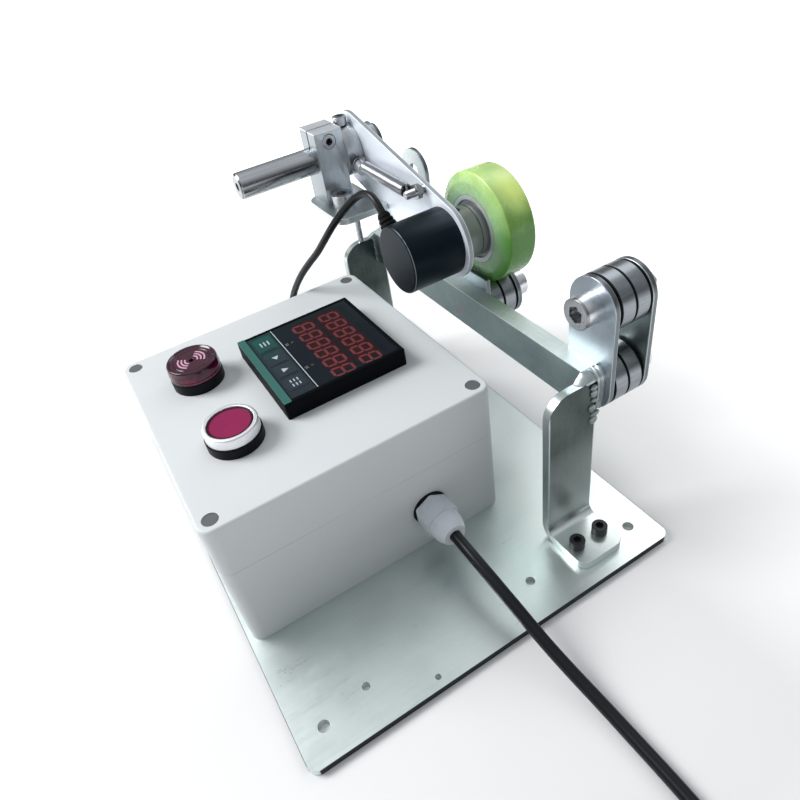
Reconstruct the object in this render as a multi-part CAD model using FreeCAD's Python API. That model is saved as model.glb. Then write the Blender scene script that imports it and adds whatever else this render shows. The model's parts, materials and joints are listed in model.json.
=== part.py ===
import FreeCAD, Part
import math
import os

V = FreeCAD.Vector

# Cable length counter. Millimetres, +Z up. Cable runs along Y.
# Origin: centre of the base plate's underside.

# ---- fits shared by many pieces ----
RUN_FIT = 0.05          # radial clearance of a turning fit
SLIP_FIT = 0.03         # radial clearance of a bolt in its bore
SEAT_GAP = 0.3          # gap between pieces that must not rub
THREAD_FIT = 0.05       # radial clearance of a screw in its tapped hole
TINY = 1e-3
RUN_SHARE = 0.45        # part of a cord's shorter run that each bend takes
PASS_FIT = 0.25         # radial clearance of a bolt in a plain hole
SCREW_EDGE_R = 0.4      # rounding of a screw head's edge
SOCKET_SHARE = 0.8      # hexagon socket's flats as a share of the thread
SOCKET_DEPTH = 0.55     # and its depth as a share of the head
M5_HEAD_D = 8.5
M5_HEAD_H = 5.0
SCREW_END_GAP = 0.5     # screw's end inside the plate's underside

# ---- base plate ----
PLATE_X = 222.0
PLATE_Y = 292.0
PLATE_T = 4.0
PLATE_CORNER_R = 6.0
MOUNT_HOLE_D = 6.0
MOUNT_INSET_X = 14.5
MOUNT_INSET_Y = 17.0
# small holes in the plate, from its front left corner: x, y, diameter
SPARE_HOLES = ((40.3, 22.2, 4.2), (141.5, 21.5, 5.0), (71.8, 5.8, 3.0))

# ---- plastic box ----
BOX_X = 160.0
BOX_Y = 160.0
BOX_H = 90.0
BOX_SEAM_H = 57.7       # height of the lower shell
BOX_WALL = 3.0
BOX_CORNER_R = 7.0
BOX_TOP_R = 1.5
BOX_INSET = 3.0         # plate's left edge to the box
BOX_SHIFT_Y = 9.7       # box centre behind the plate's centre
LID_SCREW_INSET = 7.5
LID_SCREW_D = 4.0
LID_SCREW_HEAD_D = 7.0
LID_SCREW_HEAD_H = 3.0
LID_SCREW_LEN = 40.0
LID_CAP_D = 8.0
LID_CAP_T = 2.0
BOX_BOSS_R = 6.0
BOX_SCREW_D = 5.0
BOX_SCREW_HEAD_D = 9.5
BOX_SCREW_LEN = 14.0
BOX_SCREW_INSET = 26.0
FLOOR_BOSS_H = 10.0

# ---- panel meter ----
METER_SIZE = 72.0
METER_CUTOUT = 68.0
METER_PROUD = 10.5
METER_RIM = 2.6
METER_WALL = 2.0
METER_DEPTH = 55.0      # behind the lid's top
METER_EDGE_R = 1.2
METER_TOP_R = 1.0
METER_SHEET_T = 1.2
METER_SHEET_DROP = 0.3  # sheet's face below the rim
METER_FROM_LEFT = 63.7  # box's left side to the meter
METER_FROM_FRONT = 45.5
WINDOW_X = 34.0
WINDOW_Y = 58.0
WINDOW_FROM_RIGHT = 6.0
WINDOW_T = 1.0

# ---- push button and buzzer lamp, both in 22 mm panel holes ----
PANEL_HOLE_D = 22.3
NECK_D = 22.0
NUT_AF = 28.0
NUT_T = 4.0
CONTROL_FROM_LEFT = 36.0
BUTTON_FROM_FRONT = 50.5
BUZZER_FROM_FRONT = 113.5
BUTTON_BASE_D = 30.0
BUTTON_BASE_H = 6.6
BUTTON_NECK_L = 18.0
BUTTON_BEZEL_D = 28.5
BUTTON_BEZEL_H = 5.3
BUTTON_CAP_D = 25.0
BUTTON_CAP_PROUD = 1.0
BUTTON_TRAVEL = 3.0
BUTTON_STEM_D = 6.0
BUTTON_SPRING_D = 11.0
BUTTON_SPRING_BORE = 9.0
BUTTON_BORE_D = 12.5
BUTTON_SPRING_SEAT = 4.0   # floor of the spring's well below the lid's top
BUTTON_STEM_L = 26.0
CONTACT_X = 30.0
CONTACT_Y = 18.0
CONTACT_H = 18.0
BUZZER_BASE_D = 29.4
BUZZER_BASE_H = 6.8
BUZZER_NECK_L = 24.0
BUZZER_CAP_D = 28.7
BUZZER_CAP_H = 8.0
BUZZER_RIM_H = 6.2

# ---- cable gland in the front wall ----
GLAND_FROM_LEFT = 112.9
GLAND_HEIGHT = 28.7     # above the plate's top
GLAND_THREAD_D = 15.2
GLAND_AF = 19.0
GLAND_GASKET_D = 21.2
GLAND_GASKET_T = 1.5
GLAND_HEX_T = 5.0
GLAND_NUT_L = 18.2
GLAND_MOUTH_D = 13.0
GLAND_LOCKNUT_T = 5.0
GLAND_SEAL_DEPTH = 7.0

# ---- cords ----
MAINS_D = 6.5
LEAD_D = 4.4
LEAD_STRAIGHT = 6.2     # lead's first run out of its boot
MAINS_STRAIGHT = 8.0    # supply cord's first run out of the gland's mouth
CORD_FIT = 0.1          # radial clearance round a cord
COIL_MID_R = 36.5       # middle of the turns
COIL_TURNS_WIDE = 3
COIL_LAYERS = 2
COIL_CENTRE = (-26.8, -281.0)
PLUG_FROM_COIL = 62.0   # plug's strain relief from the coil's middle
PLUG_X = 44.0
PLUG_Y = 34.0
PLUG_Z = 26.0
PLUG_PIN_D = 4.8
PLUG_PIN_L = 19.0
PLUG_PIN_PITCH = 19.0
PLUG_TAPER_L = 24.0
PLUG_TAPER_R = 8.0
PLUG_SKIN = 1.0         # rubber round the cord at the taper's end
PLUG_LAP = 2.0          # taper and pins start this far inside the body
TAIL_BENDS = (36.6, 49.2)  # plug's cord bends this far from the coil's middle
TAIL_SWAY = 0.5
TAIL_RISE = 0.9
PLUG_CORNER_R = 7.0
PLUG_EDGE_R = 3.0
FLOOR_GAP = 0.05        # what lies loose on the table, above the plate's underside
GROMMET_D = 11.0
GROMMET_FLANGE_T = 2.0
GROMMET_HEIGHT = 44.0   # above the plate's top
GROMMET_FROM_RIGHT = 47.0

# ---- welded frame ----
UPRIGHT_W = 30.0
UPRIGHT_T = 5.0
UPRIGHT_H = 100.0       # above the plate's top
UPRIGHT_BEND_R = 5.0
UPRIGHT_TOP_R = 13.0
UPRIGHT_INSET = 25.0    # plate's right edge to the upright
FOOT_REACH = 28.0       # foot beyond the upright's outer face
FOOT_CORNER_R = 6.0
RAIL_SPAN = 208.0       # between the uprights' inner faces
FOOT_SCREW_D = 5.0
FOOT_SCREW_PITCH = 16.0
FOOT_SCREW_OUT = 15.5   # screws beyond the upright's outer face
BAR_T = 10.0
BAR_H = 22.7
BAR_PROUD = 4.7         # bar's top above the uprights
BAR_LAP = 6.0           # bar's left face inside the upright's right edge

# ---- roller brackets ----
BEARING_OD = 30.0
BEARING_BORE = 10.0
BEARING_W = 9.0
BEARING_INNER_OD = 17.0
BEARING_SHIELD_IN = 0.5
BEARING_RACE_R = 12.4
BEARING_CHAMFER = 0.8
SHIM_T = 1.0
SHIM_D = 16.0
CHEEK_T = 3.0
CHEEK_W = 30.0
AXIS_DROP = 14.2        # lower roller axis below the bar's top
AXIS_PITCH = 44.0
FAR_CHEEK_PITCH = 49.5  # far outer cheek's two holes, centre to centre
FAR_CHEEK_SWING = 5.5   # degrees, its top towards the near end
END_SETBACK = 5.5       # end brackets inside the uprights' inner faces
MID_CHEEK_UP = 21.5     # mid inner cheek's straight top above the roller axis
PIVOT_LUG_R = 10.0
BOLT_D = 10.0
BOLT_HEAD_D = 16.0
BOLT_HEAD_H = 10.0
BOLT_NUT_AF = 17.0
BOLT_NUT_T = 6.0
BOLT_TAIL = 3.0

# ---- measuring wheel and encoder ----
WHEEL_CIRCUMFERENCE = 200.0
WHEEL_W = 18.5
WHEEL_GAP = 0.3         # tyre above the mid roller with no cable in
TYRE_CHAMFER_R = 5.5
TYRE_CHAMFER_X = 2.5
TYRE_THICK = 12.5
HUB_WEB_T = 10.0
HUB_WEB_DROP = 1.0      # web's face inside the tyre's left face
HUB_RIM_T = 2.5
BOSS_R = 15.0
BOSS_L = 14.25
BOSS_GAP = 1.0
BOSS_CHAMFER = 0.6
BOSS_GROOVE_R = 14.2
BOSS_GROOVE_W = 1.0
SET_HOLE_D = 4.2
ENC_D = 38.0
ENC_L = 32.0
ENC_EDGE_R = 1.5
ENC_PILOT_D = 20.0
ENC_SHAFT_D = 6.0
ENC_SHAFT_IN = 20.0
BOOT_ANGLE = 45.0       # lead's exit above horizontal, towards +Y
BOOT_FROM_END = 5.5
BOOT_D = 8.0
BOOT_L = 8.0
BOOT_STEPS = 3

# ---- arm ----
ARM_T = 3.0
ARM_R = 22.0
ARM_CENTRES = 105.4
ARM_SLOPE = 15.3        # degrees, wheel end down
PIVOT_D = 16.0
PIVOT_OVERHANG = 50.4   # shaft beyond the clamp block
PIVOT_END_D = 10.0
PIVOT_CHAMFER = 1.0
CENTRE_DRILL_D = 5.0
COLLAR_R = 15.5
COLLAR_W = 10.0
COLLAR_SCREW_D = 5.0
BLOCK_X = 18.0
BLOCK_Y = 22.0
BLOCK_ABOVE = 18.1
BLOCK_BELOW = 25.9
BLOCK_SLOT = 1.5
CLAMP_SCREW_D = 5.0
CLAMP_SCREW_DROP = 6.5
CLAMP_SCREW_SHORT = 2.0  # screw's end inside the block's back face
BRACKET_X = 34.0
BRACKET_FRONT = 37.7    # bracket plate's front edge before the pivot axis
BRACKET_BACK = 10.3
BRACKET_T = 4.0
BRACKET_CORNER_R = 8.0
BRACKET_SCREW_D = 8.0
BRACKET_HEAD_D = 13.0
BRACKET_HEAD_H = 8.0
BRACKET_SCREW_BELOW = 6.0
BRACKET_SCREW_FRONT = 18.2
BRACKET_SCREW_IN = 13.0
STOP_PIN_D = 4.0
STOP_PIN_FROM_EDGE = 15.0
ARM_HUB_R = 12.0
SPRING_D = 7.6
SPRING_WIRE = 1.3
SPRING_HOOK = 6.0       # post's axis to the first turn
SPRING_FAR_HOOK = 10.5  # last turn to the far ring, past the screw's head
SPRING_SCALLOP = 0.35   # depth of the groove between two turns
HOOK_THIN = 0.05        # hooks' straight wire is this much thinner than the turns
SPRING_STAND_OFF = 1.3  # ring's middle off the collar, or off the post's head
POST_D = 5.0
POST_HEAD_D = 8.0
POST_HEAD_T = 3.0
POST_ALONG = 18.0       # spring post from the wheel axis, along Y
POST_RISE = 24.4        # and above it
POST_LEN = 12.0
ANCHOR_ANGLE = 196.0    # collar's spring screw, degrees from +Y towards +Z

# ---- places worked out from the sizes above ----
plate_left = -PLATE_X / 2
plate_right = PLATE_X / 2
box_x0 = plate_left + BOX_INSET
box_x1 = box_x0 + BOX_X
box_y0 = BOX_SHIFT_Y - BOX_Y / 2
box_y1 = BOX_SHIFT_Y + BOX_Y / 2
seam_z = PLATE_T + BOX_SEAM_H
lid_z = PLATE_T + BOX_H
under_lid_z = lid_z - BOX_WALL

control_x = box_x0 + CONTROL_FROM_LEFT
button_y = box_y0 + BUTTON_FROM_FRONT
buzzer_y = box_y0 + BUZZER_FROM_FRONT
button_base_top = lid_z + BUTTON_BASE_H
button_bezel_top = button_base_top + BUTTON_BEZEL_H
button_cap_top = button_bezel_top + BUTTON_CAP_PROUD
button_cap_bottom = button_base_top + BUTTON_TRAVEL + SEAT_GAP
button_neck_bottom = under_lid_z - BUTTON_NECK_L + BOX_WALL
spring_seat_z = lid_z - BUTTON_SPRING_SEAT

meter_x0 = box_x0 + METER_FROM_LEFT
meter_y0 = box_y0 + METER_FROM_FRONT
meter_xc = meter_x0 + METER_SIZE / 2
meter_yc = meter_y0 + METER_SIZE / 2
meter_top = lid_z + METER_PROUD

gland_x = box_x0 + GLAND_FROM_LEFT
gland_z = PLATE_T + GLAND_HEIGHT
gland_hex_y = box_y0 - GLAND_GASKET_T
gland_nut_y = gland_hex_y - GLAND_HEX_T
gland_mouth_y = gland_nut_y - GLAND_NUT_L
seal_y = gland_mouth_y + GLAND_SEAL_DEPTH
grommet_x = box_x1 - GROMMET_FROM_RIGHT
grommet_z = PLATE_T + GROMMET_HEIGHT

upright_x1 = plate_right - UPRIGHT_INSET
upright_x0 = upright_x1 - UPRIGHT_W
upright_in_y = RAIL_SPAN / 2
upright_out_y = upright_in_y + UPRIGHT_T
upright_top = PLATE_T + UPRIGHT_H
foot_screw_y = upright_out_y + FOOT_SCREW_OUT
foot_screw_x = (upright_x0 + upright_x1) / 2
bar_x0 = upright_x1 - BAR_LAP
bar_x1 = bar_x0 + BAR_T
bar_top = upright_top + BAR_PROUD

roller_r = BEARING_OD / 2
lower_z = bar_top - AXIS_DROP
upper_z = lower_z + AXIS_PITCH
end_y = upright_in_y - END_SETBACK
inner_x0 = bar_x1
inner_x1 = inner_x0 + CHEEK_T
ring_x0 = inner_x1 + SHIM_T
ring_x1 = ring_x0 + 2 * BEARING_W
outer_x0 = ring_x1 + SHIM_T
outer_x1 = outer_x0 + CHEEK_T
cheek_r = CHEEK_W / 2

wheel_r = WHEEL_CIRCUMFERENCE / (2 * math.pi)
wheel_z = lower_z + roller_r + WHEEL_GAP + wheel_r
wheel_xc = (ring_x0 + ring_x1) / 2
wheel_x0 = wheel_xc - WHEEL_W / 2
wheel_x1 = wheel_xc + WHEEL_W / 2
tyre_bore_r = wheel_r - TYRE_THICK
boss_x0 = wheel_x0 - BOSS_L
arm_x1 = boss_x0 - BOSS_GAP
arm_x0 = arm_x1 - ARM_T
enc_x0 = arm_x0 - ENC_L

arm_angle = math.radians(ARM_SLOPE)
pivot_y = ARM_CENTRES * math.cos(arm_angle)
pivot_z = wheel_z + ARM_CENTRES * math.sin(arm_angle)
collar_x1 = arm_x0 - SEAT_GAP
collar_x0 = collar_x1 - COLLAR_W
block_x1 = collar_x0
block_x0 = block_x1 - BLOCK_X
block_y0 = pivot_y - BLOCK_Y / 2
shaft_x0 = block_x0 - PIVOT_OVERHANG
bracket_top = pivot_z - BLOCK_BELOW
bracket_x1 = arm_x0 - SEAT_GAP
bracket_x0 = bracket_x1 - BRACKET_X
bracket_y0 = pivot_y - BRACKET_FRONT
bracket_y1 = pivot_y + BRACKET_BACK
post_x0 = arm_x0 - POST_LEN
post_y = POST_ALONG
post_z = wheel_z + POST_RISE
anchor_x = (collar_x0 + collar_x1) / 2


# ---- small helpers ----
def block(x0, x1, y0, y1, z0, z1):
    return Part.makeBox(x1 - x0, y1 - y0, z1 - z0, V(x0, y0, z0))


def rod(start, axis, radius, length):
    return Part.makeCylinder(radius, length, V(*start), V(*axis))


def rod_x(x0, x1, y, z, radius):
    return rod((x0, y, z), (1, 0, 0), radius, x1 - x0)


def rod_z(x, y, z0, z1, radius):
    return rod((x, y, z0), (0, 0, 1), radius, z1 - z0)


def edges_where(shape, test):
    """The edges whose bounding box passes the test."""
    return [edge for edge in shape.Edges if test(edge.BoundBox)]


def upright_box(x0, x1, y0, y1, z0, z1, corner_r):
    """A box with its four vertical edges rounded."""
    body = block(x0, x1, y0, y1, z0, z1)
    upright_edges = edges_where(body, lambda box: box.XLength < TINY and box.YLength < TINY)
    return body.makeFillet(corner_r, upright_edges)


def turned(profile, origin, axis, across):
    """A closed outline of (along axis, radius) points turned once round the axis."""
    origin = V(*origin)
    axis = V(*axis)
    across = V(*across)
    points = []
    for along, radius in profile:
        points.append(origin + axis * along + across * radius)
    points.append(points[0])
    face = Part.Face(Part.makePolygon(points))
    return face.revolve(origin, axis, 360)


def turned_x(profile, y, z):
    return turned(profile, (0, y, z), (1, 0, 0), (0, 0, 1))


def turned_z(profile, x, y):
    return turned(profile, (x, y, 0), (0, 0, 1), (1, 0, 0))


def hexagon(centre, axis, start, across_flats, length):
    """A hexagonal prism along an axis from its centre point."""
    axis = V(*axis)
    start = V(*start)
    side = axis.cross(start)
    corner_r = across_flats / math.sqrt(3)
    points = []
    for i in range(7):
        angle = math.radians(60 * i)
        points.append(V(*centre) + start * (corner_r * math.cos(angle)) + side * (corner_r * math.sin(angle)))
    return Part.Face(Part.makePolygon(points)).extrude(axis * length)


def plate_yz(x0, thickness, circles, square_top=None):
    """A flat plate in the YZ plane: the outline round two equal circles, or with a straight top."""
    (y0, z0, radius), (y1, z1) = circles
    length = math.hypot(y1 - y0, z1 - z0)
    along = V(0, (y1 - y0) / length, (z1 - z0) / length)
    side = V(0, -along.z, along.y)
    low = V(x0, y0, z0)
    high = V(x0, y1, z1)
    a = low + side * radius
    b = high + side * radius
    c = high - side * radius
    d = low - side * radius
    foot = Part.Arc(d, low - along * radius, a).toShape()
    if square_top is None:
        head = Part.Arc(b, high + along * radius, c).toShape()
        edges = [Part.makeLine(a, b), head, Part.makeLine(c, d), foot]
    else:
        b = a + along * square_top
        c = d + along * square_top
        edges = [Part.makeLine(a, b), Part.makeLine(b, c), Part.makeLine(c, d), foot]
    return Part.Face(Part.Wire(edges)).extrude(V(thickness, 0, 0))


def cap_screw(seat, axis, across, diameter, head_d, head_h, length):
    """A socket head screw: head behind the seat point, shank along the axis."""
    seat = V(*seat)
    axis = V(*axis)
    top = seat - axis * head_h
    head = Part.makeCylinder(head_d / 2, head_h, top, axis)
    rim = [edge for edge in head.Edges if edge.Closed and (edge.CenterOfMass - top).Length < 1e-3]
    head = head.makeFillet(SCREW_EDGE_R, rim)
    shank = Part.makeCylinder(diameter / 2, length, seat, axis)
    screw = head.fuse(shank)
    recess = hexagon(tuple(top), tuple(axis), across, diameter * SOCKET_SHARE, head_h * SOCKET_DEPTH)
    return screw.cut(recess).removeSplitter()


def hex_nut(centre, axis, across, bore_r, across_flats, thickness):
    nut = hexagon(centre, axis, across, across_flats, thickness)
    round_off = Part.makeCylinder(across_flats * 0.555, thickness, V(*centre), V(*axis))
    hole = Part.makeCylinder(bore_r, thickness, V(*centre), V(*axis))
    return nut.common(round_off).cut(hole)


def routed_tube(points, radius):
    """A round tube along straight runs joined by tangent arcs, each as large as its two runs allow."""
    points = [V(*p) for p in points]
    edges = []
    radii = []
    start = points[0]
    for before, corner, after in zip(points, points[1:], points[2:]):
        d1 = (corner - before).normalize()
        d2 = (after - corner).normalize()
        half_turn = d1.getAngle(d2) / 2
        setback = RUN_SHARE * min((corner - before).Length, (after - corner).Length)
        arc_r = setback / math.tan(half_turn)
        radii.append(arc_r)
        a = corner - d1 * setback
        b = corner + d2 * setback
        inward = (d2 - d1).normalize()
        centre = corner + inward * (arc_r / math.cos(half_turn))
        edges.append(Part.LineSegment(start, a).toShape())
        edges.append(Part.Arc(a, centre - inward * arc_r, b).toShape())
        start = b
    edges.append(Part.LineSegment(start, points[-1]).toShape())
    path = Part.Wire(edges)
    first = (points[1] - points[0]).normalize()
    ring = Part.Wire([Part.makeCircle(radius, points[0], first)])
    return path.makePipeShell([ring], True, True), path.Length, radii


def cord(label, points, radius):
    """A cord's tube, with its length, arcs and volume printed for checking."""
    tube, length, radii = routed_tube(points, radius)
    share = tube.Volume / (math.pi * radius * radius * length)
    print(label, "length %.1f" % length, "volume ratio %.4f" % share, "smallest arc %.1f" % min(radii))
    return tube


def save(name, *solids):
    """One node: a single solid, or several separate solids of the same kind."""
    if len(solids) == 1:
        shape = solids[0]
    else:
        shape = Part.makeCompound(list(solids))
    if not shape.isValid():
        print("INVALID", name)
    shape.exportStep("parts/" + name + ".step")
    print("%-22s solids %d volume %.0f" % (name, len(shape.Solids), shape.Volume))
    return shape


# ---- base plate ----
def base_plate():
    plate = upright_box(plate_left, plate_right, -PLATE_Y / 2, PLATE_Y / 2, 0, PLATE_T, PLATE_CORNER_R)
    holes = []
    for x in (plate_left + MOUNT_INSET_X, plate_right - MOUNT_INSET_X):
        for y in (MOUNT_INSET_Y - PLATE_Y / 2, PLATE_Y / 2 - MOUNT_INSET_Y):
            holes.append(rod_z(x, y, 0, PLATE_T, MOUNT_HOLE_D / 2))
    for x, y, dia in SPARE_HOLES:
        holes.append(rod_z(plate_left + x, y - PLATE_Y / 2, 0, PLATE_T, dia / 2))
    for x, y in foot_screw_places():
        holes.append(rod_z(x, y, 0, PLATE_T, FOOT_SCREW_D / 2 + THREAD_FIT))
    sink = (BOX_SCREW_HEAD_D - BOX_SCREW_D) / 2
    hole_r = BOX_SCREW_D / 2 + PASS_FIT
    for x, y in box_screw_places():
        holes.append(rod_z(x, y, 0, PLATE_T, hole_r))
        holes.append(Part.makeCone(hole_r + sink, hole_r, sink, V(x, y, 0)))
    return plate.cut(holes)


def foot_screw_places():
    places = []
    for side in (-1, 1):
        for step in (-0.5, 0.5):
            places.append((foot_screw_x + step * FOOT_SCREW_PITCH, side * foot_screw_y))
    return places


def box_screw_places():
    places = []
    for x in (box_x0 + BOX_SCREW_INSET, box_x1 - BOX_SCREW_INSET):
        for y in (box_y0 + BOX_SCREW_INSET, box_y1 - BOX_SCREW_INSET):
            places.append((x, y))
    return places


def lid_screw_places():
    places = []
    for x in (box_x0 + LID_SCREW_INSET, box_x1 - LID_SCREW_INSET):
        for y in (box_y0 + LID_SCREW_INSET, box_y1 - LID_SCREW_INSET):
            places.append((x, y))
    return places


# ---- plastic box ----
lid_screw_seat_z = lid_z - LID_CAP_T - LID_SCREW_HEAD_H


def box_hollow(z0, z1):
    w = BOX_WALL
    return upright_box(box_x0 + w, box_x1 - w, box_y0 + w, box_y1 - w, z0, z1, BOX_CORNER_R - w)


def enclosure_base():
    shell = upright_box(box_x0, box_x1, box_y0, box_y1, PLATE_T, seam_z, BOX_CORNER_R)
    w = BOX_WALL
    shell = shell.cut(box_hollow(PLATE_T + w, seam_z))
    bosses = []
    for x, y in lid_screw_places():
        bosses.append(rod_z(x, y, PLATE_T + w, seam_z, BOX_BOSS_R))
    for x, y in box_screw_places():
        bosses.append(rod_z(x, y, PLATE_T + w, PLATE_T + w + FLOOR_BOSS_H, BOX_BOSS_R))
    outer = upright_box(box_x0, box_x1, box_y0, box_y1, PLATE_T, seam_z, BOX_CORNER_R)
    shell = shell.fuse([boss.common(outer) for boss in bosses])
    holes = []
    for x, y in lid_screw_places():
        bottom = lid_screw_seat_z - LID_SCREW_LEN - 1
        holes.append(rod_z(x, y, bottom, seam_z, LID_SCREW_D / 2 + THREAD_FIT))
    for x, y in box_screw_places():
        holes.append(rod_z(x, y, PLATE_T, PLATE_T + w + FLOOR_BOSS_H, BOX_SCREW_D / 2 + THREAD_FIT))
    holes.append(rod((gland_x, box_y0, gland_z), (0, 1, 0), GLAND_THREAD_D / 2 + PASS_FIT, w))
    holes.append(rod((grommet_x, box_y1 - w, grommet_z), (0, 1, 0), GROMMET_D / 2, w))
    return shell.cut(holes)


def enclosure_lid():
    w = BOX_WALL
    outer = upright_box(box_x0, box_x1, box_y0, box_y1, seam_z, lid_z, BOX_CORNER_R)
    outer = outer.makeFillet(BOX_TOP_R, edges_where(outer, lambda box: box.ZMin > lid_z - TINY))
    shell = outer.cut(box_hollow(seam_z, lid_z - w))
    bosses = []
    for x, y in lid_screw_places():
        bosses.append(rod_z(x, y, seam_z, lid_z - w, BOX_BOSS_R))
    shell = shell.fuse([boss.common(outer) for boss in bosses])
    holes = []
    for x, y in lid_screw_places():
        holes.append(rod_z(x, y, seam_z, lid_z, LID_SCREW_D / 2 + PASS_FIT))
        holes.append(rod_z(x, y, lid_screw_seat_z, lid_z, LID_CAP_D / 2))
    for y in (button_y, buzzer_y):
        holes.append(rod_z(control_x, y, lid_z - w, lid_z, PANEL_HOLE_D / 2))
    half = METER_CUTOUT / 2
    holes.append(block(meter_xc - half, meter_xc + half, meter_yc - half, meter_yc + half, lid_z - w, lid_z))
    return shell.cut(holes)


def lid_screws():
    screws = []
    for x, y in lid_screw_places():
        screws.append(cap_screw((x, y, lid_screw_seat_z), (0, 0, -1), (1, 0, 0), LID_SCREW_D,
                                LID_SCREW_HEAD_D, LID_SCREW_HEAD_H, LID_SCREW_LEN))
    return screws


def lid_screw_caps():
    caps = []
    for x, y in lid_screw_places():
        r = LID_CAP_D / 2 - SLIP_FIT
        top = lid_z - SEAT_GAP
        bottom = lid_z - LID_CAP_T
        caps.append(turned_z([(bottom, 0), (bottom, r), (top - 0.3, r), (top, r - 0.3), (top, 0)], x, y))
    return caps


def enclosure_screws():
    screws = []
    sink = (BOX_SCREW_HEAD_D - BOX_SCREW_D) / 2
    low = 0.2
    for x, y in box_screw_places():
        head = Part.makeCone(BOX_SCREW_HEAD_D / 2 - low, BOX_SCREW_D / 2, sink - low, V(x, y, low))
        shank = rod_z(x, y, sink, low + BOX_SCREW_LEN, BOX_SCREW_D / 2)
        recess = hexagon((x, y, low), (0, 0, 1), (1, 0, 0), BOX_SCREW_D * 0.6, sink)
        screws.append(head.fuse(shank).cut(recess).removeSplitter())
    return screws


# ---- panel meter ----
def meter_case():
    x0, y0, s = meter_x0, meter_y0, METER_SIZE
    bezel = upright_box(x0, x0 + s, y0, y0 + s, lid_z, meter_top, METER_EDGE_R)
    bezel = bezel.makeFillet(METER_TOP_R, edges_where(bezel, lambda box: box.ZMin > meter_top - TINY))
    half = METER_CUTOUT / 2 - PASS_FIT
    bottom = lid_z - METER_DEPTH
    body = block(meter_xc - half, meter_xc + half, meter_yc - half, meter_yc + half, bottom, lid_z)
    inner = half - METER_WALL
    hollow = block(meter_xc - inner, meter_xc + inner, meter_yc - inner, meter_yc + inner,
                   bottom + METER_WALL, meter_top - METER_SHEET_T - METER_SHEET_DROP)
    front = METER_SIZE / 2 - METER_RIM
    recess = block(meter_xc - front, meter_xc + front, meter_yc - front, meter_yc + front,
                   meter_top - METER_SHEET_T - METER_SHEET_DROP, meter_top)
    return bezel.fuse(body).cut([hollow, recess]).removeSplitter()


window_x1 = meter_x0 + METER_SIZE - WINDOW_FROM_RIGHT
window_x0 = window_x1 - WINDOW_X


def meter_front_panel():
    front = METER_SIZE / 2 - METER_RIM - SLIP_FIT
    bottom = meter_top - METER_SHEET_T - METER_SHEET_DROP
    top = meter_top - METER_SHEET_DROP
    sheet = block(meter_xc - front, meter_xc + front, meter_yc - front, meter_yc + front, bottom, top)
    well = block(window_x0, window_x1, meter_yc - WINDOW_Y / 2, meter_yc + WINDOW_Y / 2, top - WINDOW_T, top)
    return sheet.cut(well)


def meter_display():
    top = meter_top - METER_SHEET_DROP
    g = SLIP_FIT
    half = WINDOW_Y / 2
    return block(window_x0 + g, window_x1 - g, meter_yc - half + g, meter_yc + half - g, top - WINDOW_T, top)


# ---- push button ----
def button_base():
    x, y = control_x, button_y
    neck_r = NECK_D / 2
    ring_r = BUTTON_BASE_D / 2
    bore_r = BUTTON_BORE_D / 2
    guide_r = BUTTON_STEM_D / 2 + RUN_FIT
    top = button_base_top
    profile = [(button_neck_bottom, neck_r), (lid_z, neck_r), (lid_z, ring_r), (top - 1.0, ring_r),
               (top, ring_r - 1.0), (top, bore_r), (spring_seat_z, bore_r), (spring_seat_z, guide_r),
               (button_neck_bottom, guide_r)]
    return turned_z(profile, x, y)


def button_bezel():
    inner = BUTTON_CAP_D / 2 + SEAT_GAP
    outer = BUTTON_BEZEL_D / 2
    z0, z1 = button_base_top, button_bezel_top
    profile = [(z0, inner), (z0, outer), (z1 - 0.9, outer), (z1 - 0.2, outer - 0.6), (z1, outer - 1.1),
               (z1 - 0.5, inner)]
    return turned_z(profile, control_x, button_y)


def button_cap():
    r = BUTTON_CAP_D / 2
    stem = BUTTON_STEM_D / 2
    z0, z1 = button_cap_bottom, button_cap_top
    profile = [(z0 - BUTTON_STEM_L, 0), (z0 - BUTTON_STEM_L, stem), (z0, stem), (z0, r), (z1 - 0.6, r),
               (z1, r - 0.8), (z1, r - 1.8), (z1 - 0.4, r - 2.4), (z1 - 0.4, 0)]
    return turned_z(profile, control_x, button_y)


def button_spring():
    z0, z1 = spring_seat_z, button_cap_bottom
    tube = rod_z(control_x, button_y, z0, z1, BUTTON_SPRING_D / 2)
    return tube.cut(rod_z(control_x, button_y, z0, z1, BUTTON_SPRING_BORE / 2))


def button_contact_block():
    top = button_neck_bottom
    x, y = control_x, button_y
    half_x, half_y = CONTACT_X / 2, CONTACT_Y / 2
    body = block(x - half_x, x + half_x, y - half_y, y + half_y, top - CONTACT_H, top)
    well = rod_z(x, y, top - CONTACT_H / 2, top, BUTTON_STEM_D / 2 + PASS_FIT)
    return body.cut(well)


def buzzer_base():
    bottom = lid_z - BUZZER_NECK_L
    top = lid_z + BUZZER_BASE_H
    profile = [(bottom, 0), (bottom, NECK_D / 2), (lid_z, NECK_D / 2), (lid_z, BUZZER_BASE_D / 2),
               (top - 0.8, BUZZER_BASE_D / 2), (top, BUZZER_BASE_D / 2 - 0.8), (top, 0)]
    return turned_z(profile, control_x, buzzer_y)


def buzzer_cap():
    r = BUZZER_CAP_D / 2
    z0 = lid_z + BUZZER_BASE_H
    z1 = z0 + BUZZER_CAP_H
    rim = z0 + BUZZER_RIM_H
    profile = [(z0, 0), (z0, r), (rim, r), (z1 - 0.5, r - 1.2), (z1, r - 2.2), (z1, r - 3.4),
               (z1 - 0.7, r - 4.2), (z1 - 0.7, 1.2), (z1 - 1.6, 1.2), (z1 - 1.6, 0)]
    return turned_z(profile, control_x, buzzer_y)


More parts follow.
